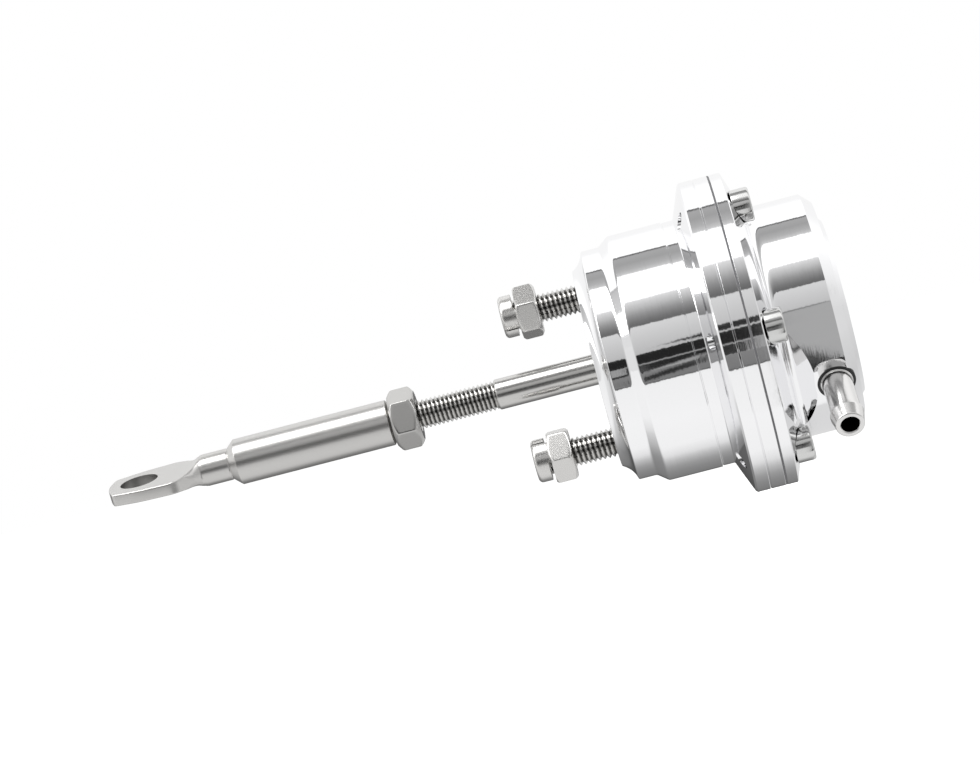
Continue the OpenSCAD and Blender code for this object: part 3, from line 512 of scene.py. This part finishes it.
# Clamp ring: turned aluminium with a polished rim, between the housing's flange and the diaphragm.
clamp_ring = turned("clamp_ring_rim", [
    (28.2, 22.4), (28.2, 32.3), (28.4, 32.5, 0.12), (31.15, 32.5, 0.04), (31.2, 32.45), (31.2, 22.4, 0.8)],
    polished_aluminium)
cut(clamp_ring, rods("cut_ring", screw_places, 2.15, 27, 33))
true_normals(clamp_ring)
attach(clamp_ring, "housing")
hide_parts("clamp_ring")


# Pressure cap: turned from billet and polished like the housing. Its conical flange has a spot face for each
# screw, and a groove and a flat are milled where the hose barb is screwed in.


def placed_box(name, low, high, turn):
    """A box from low to high, turned about the x axis, used to cut a flat."""
    x, y, z = (np.array([(low[k], high[k])[(n >> k) & 1] for n in range(8)], float) for k in range(3))
    a = math.radians(turn)
    points = np.stack([x, y * math.cos(a) - z * math.sin(a), y * math.sin(a) + z * math.cos(a)], 1)
    faces = [(0, 2, 3, 1), (4, 5, 7, 6), (0, 1, 5, 4), (2, 6, 7, 3), (0, 4, 6, 2), (1, 3, 7, 5)]
    return as_piece(name, points, faces, None, merge=False)


def groove_cutter(name, angle, bottom_x, bottom_r, rounding, front_slope, back_slope, top, width):
    """A straight prism with a V section, rounded at its bottom, square to the direction at `angle`."""
    rise = top - bottom_r
    section, _, _ = rounded([(bottom_x, bottom_r, rounding), (bottom_x + rise / back_slope, top),
                             (bottom_x - rise * front_slope, top)], 32)
    a = math.radians(angle)
    ends = []
    for across in (-width, width):
        y, z = -section[:, 1], np.full(len(section), float(across))
        ends.append(np.stack([section[:, 0], y * math.cos(a) - z * math.sin(a),
                              y * math.sin(a) + z * math.cos(a)], 1))
    count = len(section)
    faces = [[k + count, (k + 1) % count + count, (k + 1) % count, k] for k in range(count)]
    faces += [list(range(count)), list(range(count, 2 * count))[::-1]]
    return as_piece(name, np.concatenate(ends), faces, None, merge=False)


cap = turned("pressure_cap_body", [
    (48.5, 0), (48.5, 15.0, 1.5), (36.0, 15.0, 0.2), (36.0, 21.4, 0.4), (31.6, 21.4), (31.6, 32.45),
    (31.65, 32.5, 0.04), (33.8, 32.5, 0.12), (34.0, 32.3, 0.1), (36.67, 24.2, 2.6), (48.3, 24.2, 0.12),
    (50.45, 22.05, 0.12), (50.45, 18.9), (51.5, 17.85, 0.1), (51.5, 0)], polished_aluminium)
# The barb's own x axis points out of the cap, at barb_angle below -Y
barb_angle, flat_height = 36, 23.9
c, s = math.cos(math.radians(barb_angle)), math.sin(math.radians(barb_angle))
barb_matrix = Matrix.Translation((0.0457, 0, 0)) @ Matrix((
    (0, 1, 0, 0), (-c, 0, -s, 0), (-s, 0, c, 0), (0, 0, 0, 1)))
seal_seat = rods("cut_seal_seat", [(0, 0)], 3.9, 23.0, 26, segments=96)
barb_hole = rods("cut_barb_hole", [(0, 0)], 2.25, 13, 24)
for cutter in (seal_seat, barb_hole):
    cutter.data.transform(barb_matrix)
screw_seats = rods("cut_seats", screw_places, 4.0, 34.5, 54, segments=96)
# The groove's bottom, and its back wall, whose slope meets the flat
groove_x, groove_r, back_slope = 37.45, 20.8, 0.79
flat_start = groove_x + (flat_height - groove_r) / back_slope
cut(cap, screw_seats, rods("cut_cap_holes", screw_places, 2.15, 30, 35),
    groove_cutter("cut_groove", 31.5, groove_x, groove_r, 1, 0.26, back_slope, 33.5, 65),
    placed_box("cut_flat", (flat_start, -48, -24), (70, -flat_height, 24), barb_angle), seal_seat, barb_hole)
true_normals(cap)
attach(cap, "housing")
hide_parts("pressure_cap")


# Cap screws: six M4 socket head screws of bright stainless steel, on the spot faces of the cap's flange.


def hexagon_radius(angle, flats, sharpness):
    """Radius of a hexagon with softened corners: the even mean, to a high power, of its six sides."""
    sides = np.maximum(np.cos(angle[..., None] - np.radians(60 * np.arange(6) + 30)), 0)
    return flats / 2 / (sides ** sharpness).sum(-1) ** (1 / sharpness)


def sector_angles(near=(0, 0.4, 0.9, 1.6, 2.6, 4, 6, 9, 13, 18, 24, 30)):
    """Angles round a hexagon, close together at its six corners."""
    near = np.array(near, float)
    one = np.concatenate([near, 60 - near[-2:0:-1]])
    return np.radians((one[None] + 60 * np.arange(6)[:, None]).ravel())


# Bright stainless steel: pale grey with small soft marks
bright_stainless = turned_metal("bright_stainless", "#D3D3D2", 0.13, 0.25, 0.0015, grain=0.0006)
angle = sector_angles()
socket = hexagon_radius(angle, 3.0, 60)
profile = [(24.5, 0), (24.5, 1.75), (24.7, 1.95), (34.5, 1.95), (34.5, 3.3), (34.5, 3.42), (34.56, 3.48),
           (34.7, 3.5), (37.7, 3.5)]
profile += [(37.8 + 0.5 * math.sin(t), 3.0 + 0.5 * math.cos(t)) for t in np.linspace(0, math.pi / 2, 9)]
profile += [(38.3, 1.9), (38.3, 1.85)]
x = np.array([p[0] for p in profile])[:, None] + 0 * angle
r = np.array([p[1] for p in profile])[:, None] + 0 * angle
inner_x = np.array([38.3, 38.2, 38.05, 36.4, 36.3, 36.3, 35.9])[:, None] + 0 * angle
inner_r = np.stack([socket + 0.22, socket + 0.12, socket, socket, socket * 0.98, socket * 0.9, socket * 0])
x, r = np.concatenate([x, inner_x]), np.concatenate([r, inner_r])
one = np.stack([x, r * np.cos(angle), r * np.sin(angle)], -1).reshape(-1, 3)
faces_of_one = quads(len(x), len(angle))[:, ::-1]
# Each screw's socket ended up at its own angle, in degrees
turns = (12, 47, -8, 31, 3, 52)
points, faces = [], []
for k, (y, z) in enumerate(screw_places):
    a = math.radians(turns[k])
    spun = np.stack([one[:, 0], one[:, 1] * math.cos(a) - one[:, 2] * math.sin(a) + y,
                     one[:, 1] * math.sin(a) + one[:, 2] * math.cos(a) + z], 1)
    points.append(spun)
    faces.append(faces_of_one + k * len(one))
screws = as_piece("cap_screw_set", np.concatenate(points), np.concatenate(faces), bright_stainless, sharp=38)
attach(screws, "housing")
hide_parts("cap_screws")


# Hose barb and its seal: a nickel plated brass fitting screwed into the cap's flat on a rubber ring. It has one
# sharp ridge for a 6 mm hose and a 3.7 mm air passage.

barb_turn = barb_matrix.to_euler()
# Bright nickel plate: a warm mirror, a little softer than the polished housing
bright_nickel = turned_metal("bright_nickel", "#DFDEDD", 0.18, 0.2, 0.0006,
                             place=(barb_matrix.translation, barb_turn))
barb = turned("hose_barb_body", [
    (16.0, 1.85), (16.0, 2.25), (23.9, 2.25), (23.9, 3.3, 0.05), (24.05, 3.3, 0.05), (24.3, 3.05, 0.1),
    (34.3, 3.05, 0.1), (34.4, 3.4, 0.06), (35.0, 3.4, 0.1), (38.0, 2.87, 0.25), (38.0, 2.05, 0.1),
    (37.8, 1.85, 0.1)], bright_nickel, segments=128)
true_normals(barb)
# Its bore stays unplated, dull brass, with its colour darkened almost to black as painted shade in the narrow
# hole
shaded_bore_brass = turned_metal("shaded_bore_brass", "#2A2622", 0.55, 0.3, 0.003)
barb.data.materials.append(shaded_bore_brass)
# The bore's faces take the darker material: painted shade inside the hole
x, y, z = of_faces(barb.data, "center").T * 1000
barb.data.polygons.foreach_set("material_index", ((np.hypot(y, z) < 1.9) & (x < 37.75)).astype(np.int32))
barb.data.transform(barb_matrix)
seal = turned("barb_seal_ring", [(23.0, 2.25), (23.0, 3.88), (23.89, 3.88, 0.12), (23.89, 2.25)],
              nitrile_rubber, segments=96)
true_normals(seal)
seal.data.transform(barb_matrix)
for piece, node, slot in ((barb, "hose_barb", "polished_barb"), (seal, "barb_seal", "black_rubber")):
    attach(piece, "housing")
    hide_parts(node)


# Mounting studs and lock nuts: M6 x 1 stainless studs screwed into the housing, each with a hexagon lock nut
# whose collar is sawn part-way through and split, so that it grips the thread.

# Tumbled stainless: pale, with a fine grain of about 0.3 mm
tumbled_stainless = turned_metal("tumbled_stainless", "#D4D3D1", 0.27, 0.6, 0.0005, grain=0.00045)


def nut(name, flats, height, bore, collar_r, collar_h, material, flat_part=0.96, slope=30):
    """A hexagon nut standing along +x from 0: hexagon and bevels are one surface, the softened lesser of the two
    radii at each angle and height, and the collar, if any, is turned on top. The bevels start at `flat_part` of
    the nut's inner radius and slope by `slope` degrees."""
    angle = sector_angles()
    six = hexagon_radius(angle, flats, 90)
    rim = flats / 2 * flat_part
    rise = np.array([0, 0.03, 0.08, 0.15, 0.25, 0.4, 0.6, 0.85, 1.15, 1.5])
    steps = np.concatenate([rise, height - rise[::-1]])
    cone = rim + np.minimum(steps, height - steps)[:, None] / math.tan(math.radians(slope))
    crisp = 40.0
    side = (six[None] ** -crisp + cone ** -crisp) ** (-1 / crisp)
    plain = np.ones_like(angle)
    x = [0.45, 0.0, 0.0, *steps]
    r = [bore * plain, (bore + 0.35) * plain, side[0] - 0.06, *side]
    if collar_r:
        top = height + collar_h
        turn = np.linspace(0, math.pi / 2, 9)
        x += [height, height, height + 0.08, *(top - 0.85 + 0.85 * np.sin(turn)), top, top - 0.2]
        r += [side[-1] - 0.06, (collar_r + 0.08) * plain, collar_r * plain,
              *((collar_r - 0.85 + 0.85 * np.cos(turn))[:, None] * plain), (bore + 0.2) * plain, bore * plain]
    else:
        x += [height, height, height - 0.45]
        r += [side[-1] - 0.06, (bore + 0.35) * plain, bore * plain]
    x = np.array(x)[:, None] + 0 * angle
    grid = np.stack([x, np.stack(r) * np.cos(angle), np.stack(r) * np.sin(angle)], -1)
    return as_piece(name, grid, quads(len(x), len(angle), round_rows=True)[:, ::-1], material, sharp=40)


# For each stud: its place, and the turns in degrees of its nut, of the saw cuts and of the split
for name, (y, z), spin, saw, split in (("lower_stud", stud_places[0], 5, 23.5, 55),
                                       ("upper_stud", stud_places[1], -17, -17, -40)):
    stud = threaded(name + "_thread", -16.5, 0.55, 2.97, 2.42, 1.0, 2.5, rolled_stainless)
    stud.data.transform(Matrix.Translation((0, y / 1000, z / 1000)))
    shank = turned(name + "_shank", [(-1, 0), (-1, 2.4), (4.6, 2.4), (4.6, 0)], bright_stainless, segments=64)
    true_normals(shank)
    shank.data.transform(Matrix.Translation((0, y / 1000, z / 1000)))
    lock_nut = nut(name + "_nut_body", 10.0, 4.7, 3.0, 4.4, 3.3, tumbled_stainless)
    cut(lock_nut, placed_box("cut_saw_1", (4.5, -10, 1.93), (5.2, 10, 10), saw + spin),
        placed_box("cut_saw_2", (4.5, -10, -10), (5.2, 10, -1.93), saw + spin),
        placed_box("cut_split", (4.75, 0, -0.14), (9, 10, 0.14), split + spin))
    lock_nut.data.shade_smooth()
    lock_nut.data.set_sharp_from_angle(angle=math.radians(40))
    lock_nut.data.transform(Matrix.Translation((-0.0088, y / 1000, z / 1000))
                            @ Matrix.Rotation(math.radians(spin), 4, "X") @ Matrix.Rotation(math.pi, 4, "Z"))
    for piece in (stud, shank):
        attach(piece, "housing")
    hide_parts(name)
    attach(lock_nut, "lower_lock_nut" if name == "lower_stud" else "upper_lock_nut")
    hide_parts(name + "_nut")


# Jam nut and rod end: a plated 7/16 in nut locks the rod end on the rod's thread. The rod end is a turned
# stainless bar with a neck that is forged flat into an eye.

# Plated steel: mid grey, satin, with a faint grain
plated_steel = turned_metal("plated_steel", "#C0BFBD", 0.18, 0.5, 0.0005, grain=0.0003)
# Satin turned stainless: light grey, soft reflections stretched round the bar
satin_stainless = turned_metal("satin_stainless", "#C9C8C6", 0.3, 0.1, 0.0001)

jam_nut = nut("jam_nut_body", 11.1, 5.6, 3.02, 0, 0, plated_steel, flat_part=0.925, slope=35)
jam_nut.data.transform(Matrix.Translation((-0.0378, 0, 0)) @ Matrix.Rotation(math.radians(-5), 4, "X")
                       @ Matrix.Rotation(math.radians(30), 4, "X") @ Matrix.Rotation(math.pi, 4, "Z"))
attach(jam_nut, "jam_nut")
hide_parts("jam_nut")

barrel = turned("rod_end_barrel", [
    (-63.5, 0), (-63.5, 2.75), (-43.5, 2.75, 0.2), (-43.5, 4.05, 0.1), (-43.95, 4.76, 0.12), (-76.3, 4.76, 0.25),
    (-77.75, 3.42, 0.1), (-77.95, 3.2, 0.1), (-78.2, 3.32, 0.1), (-83.4, 3.32), (-83.4, 0)], satin_stainless,
    segments=160)
true_normals(barrel)


def forged_eye(name, material, arc=10):
    """The neck drawn into a flat eye: each cross-section is a rounded rectangle of half width w, half thickness
    t and corner radius c. At the neck all three are the bar's radius, so it starts as a circle."""
    outline, _, _ = rounded([(0, 3.3), (5.54, 7.9, 4), (13.2, 7.2, 20), (18.6, 5.65, 1.1), (20.1, 0, 13),
                             (18.6, -5.65, 1.1), (13.2, -7.2, 20), (5.54, -7.9, 4), (0, -3.3)], 18)
    upper = outline[outline[:, 1] >= 0]
    upper = upper[np.argsort(upper[:, 0])]
    tip = 19.62
    u = np.concatenate([np.linspace(-1.2, -0.3, 3), np.linspace(-0.2, 17.6, 90), 17.6 + (tip - 17.6) *
                        np.sin(np.linspace(0.06, math.pi / 2, 22))])
    w = np.interp(u, np.concatenate([[-3], upper[:, 0]]), np.concatenate([[3.3], upper[:, 1]]))
    w = np.where(u >= tip - 1e-6, 0, w)
    t = np.interp(u, [-0.3, 0.0, 0.35, 0.9, 1.6, 2.6, 4.2, 6.5], [3.3, 3.22, 2.85, 2.32, 1.93, 1.6, 1.34, 1.25])
    t = np.convolve(np.pad(t, 3, "edge"), np.ones(7) / 7, "valid")
    soft = np.clip(u / 3.2, 0, 1)
    c = np.minimum(np.minimum(3.3 + (0.35 - 3.3) * soft, t), np.maximum(w, 0))
    corner = np.linspace(0, math.pi / 2, arc)
    a = np.concatenate([corner, corner + math.pi / 2, corner + math.pi, corner + 3 * math.pi / 2])
    sy = np.repeat([1, -1, -1, 1], arc)
    sz = np.repeat([1, 1, -1, -1], arc)
    y = sy * (w - c)[:, None] + c[:, None] * np.cos(a)
    z = sz * (t - c)[:, None] + c[:, None] * np.sin(a)
    grid = np.stack([np.repeat(-u[:, None], len(a), 1), y, z], -1)
    first = grid[:1] * np.array([1.0, 0, 0])
    last = grid[-1:] * np.array([1.0, 0, 0])
    grid = np.concatenate([first, grid, last])
    return as_piece(name, grid, quads(len(grid), len(a)), material, sharp=40)


def pin_cutter(name, x, radius, half):
    """A cylinder along z with its middle at x on the axis, used to cut the eye's hole."""
    angle = np.arange(128) * 2 * math.pi / 128
    profile = np.array([(-half, 0), (-half, radius), (half, radius), (half, 0)])
    grid = np.stack([x + profile[:, 1:] * np.cos(angle), profile[:, 1:] * np.sin(angle),
                     np.repeat(profile[:, :1], 128, 1)], -1)
    return as_piece(name, grid, quads(4, 128)[:, ::-1], None)


# The drilled hole keeps a duller wall, and its darker colour is painted shade inside the hole
shaded_drilled_stainless = turned_metal("shaded_drilled_stainless", "#8E8D8B", 0.4, 0.3, 0.002)
eye = forged_eye("rod_end_eye", satin_stainless)
eye_x, eye_r = -13.2, 4.0
cut(eye, pin_cutter("cut_eye", eye_x, eye_r, 6))
eye.data.materials.append(shaded_drilled_stainless)
# The faces of the hole's wall take the darker material: painted shade
x, y, _ = of_faces(eye.data, "center").T * 1000
wall = (abs(np.hypot(x - eye_x, y) - eye_r) < 0.02) & (abs(of_faces(eye.data, "normal")[:, 2]) < 0.5)
eye.data.polygons.foreach_set("material_index", wall.astype(np.int32))
eye.data.shade_smooth()
eye.data.set_sharp_from_angle(angle=math.radians(40))
eye.data.transform(Matrix.Translation((-0.084, 0, 0)) @ Matrix.Rotation(math.radians(13.5), 4, "X"))
for piece in (barrel, eye):
    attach(piece, "rod_end")
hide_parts("rod_end")


# Studio: a pale floor, soft lamps, and a tent of light cloth with dark cards round the object, as a product
# photographer sets up for polished metal. Only reflections show the tent.

floor = as_piece("floor", [(-4000, -4000, -95), (4000, -4000, -95), (4000, 4000, -95), (-4000, 4000, -95)],
                 [(0, 1, 2, 3)], None, merge=False)
pale, tree = new_material("pale_floor")
path = add(tree, "ShaderNodeLightPath")
seen = add(tree, "ShaderNodeMath", [(0, path.outputs["Is Camera Ray"]), (1, path.outputs["Is Glossy Ray"])],
           operation="MAXIMUM")
strength = add(tree, "ShaderNodeMath", [(0, seen.outputs["Value"]), (1, 0.55)], operation="MULTIPLY")
paper = add(tree, "ShaderNodeBsdfDiffuse", [("Color", from_hex("#F4F4F4"))])
glow = add(tree, "ShaderNodeEmission", [("Color", (1, 1, 1, 1)), ("Strength", strength.outputs["Value"])])
both = add(tree, "ShaderNodeAddShader", [(0, paper.outputs["BSDF"]), (1, glow.outputs["Emission"])])
add(tree, "ShaderNodeOutputMaterial", [("Surface", both.outputs["Shader"])])
floor.data.materials.append(pale)
floor.visible_glossy = False

# Light cloth all round: degrees above the horizon, from the front over the top to 180 behind, and its grey in
# sRGB as polished metal shows it
cloth = [(-180, 0.28), (-170, 0.3), (-160, 0.46), (-136, 0.53), (-124, 0.6), (-113, 0.73), (-104, 0.88),
         (-92, 0.95), (-60, 0.96), (-23.4, 0.945), (-23.2, 0.3), (-22.5, 0.3), (-22.3, 0.47), (-12.6, 0.5),
         (-12.4, 0.62), (-4.5, 0.6), (4.1, 0.73), (28.4, 0.84), (28.8, 0.39), (33, 0.46), (39, 0.58), (45, 0.73),
         (52.3, 0.87), (53.3, 1.1), (81.2, 1.1), (82.2, 0.8), (87, 0.7), (95, 0.63), (103, 0.66), (104.4, 0.64),
         (104.9, 0.42), (106.4, 0.42), (107, 1.05), (135, 1.03), (146, 0.97), (180, 0.94)]
# Cards in front of it: from x to x, lower and upper edge at the first x and at the second in degrees, grey, and
# how ragged their edges are in degrees
cards = [(-900, 52, -4.4, 4.1, -4.4, 4.1, 0.14, 0.05), (-900, -20, -12.6, -5.4, -12.6, -5.4, 0.25, 0.05),
         (-20, -1, -13.0, -11.0, -13.0, -11.0, 0.2, 0.1), (-1, 26, -13.0, -5.4, -8.5, -5.4, 0.14, 0.5),
         (26, 43, -12.2, -5.4, -12.2, -5.4, 0.16, 0.1), (-1, 26, -21.3, -17.4, -16.2, -11.3, 0.17, 0.6),
         (12, 26, 7.2, 7.4, 6.0, 8.6, 0.17, 0.5), (26, 52, 5.3, 9.4, 5.3, 9.4, 0.17, 0.15),
         (52, 900, -46, 8.4, -46, 8.4, 0.655, 0.2), (52, 75, 7.7, 8.9, 7.7, 8.9, 0.5, 0.4),
         (52, 900, -58, -46, -58, -46, 0.18, 1.5),
         (56, 72, -58, -22, -58, -45, 0.2, 0.8), (-900, -24, 53.3, 81.2, 53.3, 81.2, 2.0, 0),
         (-900, -150, 160, 181, 172, 181, 0.62, 0), (56, 900, -178, -95, -178, -95, 0.85, 0)]
x = np.concatenate([[-900, -400, -200, -120], np.arange(-80, 100, 0.8), [120, 200, 400, 900]])
degrees = np.unique(np.concatenate([
    np.arange(-180, 181, 3.0), np.arange(-62, -42, 0.4), np.arange(-24, 30, 0.2), np.arange(52, 54, 0.2),
    np.arange(80, 108, 0.2)]).round(3))
shades = np.repeat(np.interp(degrees, *np.transpose(cloth))[None], len(x), 0)
tooth = 0.5 * np.sin(2.3 * x) + 0.3 * np.sin(5.9 * x + 1) + 0.4 * np.sin(0.71 * x + 2)
for first, second, low_1, high_1, low_2, high_2, grey, ragged in cards:
    share = np.clip((x - first) / (second - first), 0, 1)
    low = low_1 + (low_2 - low_1) * share + ragged * tooth
    high = high_1 + (high_2 - high_1) * share - ragged * np.roll(tooth, 7)
    inside = (degrees > low[:, None]) & (degrees < high[:, None]) & ((x >= first) & (x < second))[:, None]
    shades[inside] = grey
a = np.radians(degrees)
tent_r = 600
grid = np.stack([np.repeat(x[:, None], len(a), 1), -tent_r * np.cos(a) + 0 * x[:, None],
                 tent_r * np.sin(a) + 0 * x[:, None]], -1)
# Both ends close in a plain light cloth
ends = grid[[0, -1]] * np.array([1, 0, 0])
grid = np.concatenate([ends[:1], grid, ends[1:]])
shades = np.concatenate([0 * shades[:1] + 0.93, shades, 0 * shades[:1] + 0.86])
shades[1], shades[-2] = np.maximum(shades[1], 0.8), np.maximum(shades[-2], 0.8)
tent = as_piece("tent", grid, quads(len(grid), len(a), ring=False), None, merge=False)
shade = tent.data.color_attributes.new("shade", "FLOAT_COLOR", "POINT")
values = np.ones((*shades.shape, 4), np.float32)
mirror_share = 0.93  # of the light, as polished aluminium reflects
values[..., :3] = (linear(shades) / mirror_share)[..., None]
shade.data.foreach_set("color", values.ravel())
fabric, tree = new_material("tent_strips")
stripe = add(tree, "ShaderNodeAttribute", attribute_name="shade")
light = add(tree, "ShaderNodeEmission", [("Color", stripe.outputs["Color"]), ("Strength", 1.0)])
add(tree, "ShaderNodeOutputMaterial", [("Surface", light.outputs["Emission"])])
tent.data.materials.append(fabric)
for ray in ("camera", "diffuse", "transmission", "volume_scatter", "shadow"):
    setattr(tent, "visible_" + ray, False)
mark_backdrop(floor, tent)

world = bpy.data.worlds.new("studio")
bpy.context.scene.world = world
world.use_nodes = True
tree = world.node_tree
tree.nodes.clear()
path = add(tree, "ShaderNodeLightPath")
mirror = add(tree, "ShaderNodeMath", [
    (0, path.outputs["Is Glossy Ray"]), (1, path.outputs["Is Transmission Ray"])], operation="MAXIMUM")
direct = add(tree, "ShaderNodeMath", [(0, path.outputs["Is Camera Ray"]), (1, mirror.outputs["Value"])],
             operation="MAXIMUM")
level = add(tree, "ShaderNodeMapRange", [
    ("Value", direct.outputs["Value"]), ("To Min", 0.55), ("To Max", 1.0)])
sky = add(tree, "ShaderNodeBackground", [("Color", (1, 1, 1, 1)), ("Strength", level.outputs["Result"])])
add(tree, "ShaderNodeOutputWorld", [("Surface", sky.outputs["Background"])])

for name, place, size, power in (("key", (-0.25, -0.55, 0.75), 0.6, 7.0), ("fill", (0.6, -0.4, 0.35), 0.5, 2.0),
                                 ("back", (0.1, 0.7, 0.5), 0.6, 4.0)):
    lamp = bpy.data.lights.new(name, "AREA")
    lamp.energy, lamp.size = power, size
    holder = bpy.data.objects.new(name, lamp)
    bpy.context.scene.collection.objects.link(holder)
    holder.location = place
    holder.rotation_euler = (-Vector(place)).to_track_quat("-Z", "Y").to_euler()
    holder.visible_glossy = False

# The camera stands 0.69 m away, level with the rod, and is rolled so that the rod rises to the right
eye_at, target = Vector((0.0167, -0.688, 0.0135)), Vector((-0.0218, 0, 0.0036))
lens = bpy.data.cameras.new("camera")
lens.lens, lens.sensor_width, lens.clip_start, lens.clip_end = 123.6, 36, 0.05, 20
camera = bpy.data.objects.new("camera", lens)
bpy.context.scene.collection.objects.link(camera)
camera.location = eye_at
camera.rotation_mode = "QUATERNION"
roll = Quaternion((0, 0, 1), math.radians(-14.57))
camera.rotation_quaternion = (target - eye_at).to_track_quat("-Z", "Y") @ roll
bpy.context.scene.camera = camera
bpy.context.scene.view_settings.view_transform = "Standard"

low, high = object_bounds()
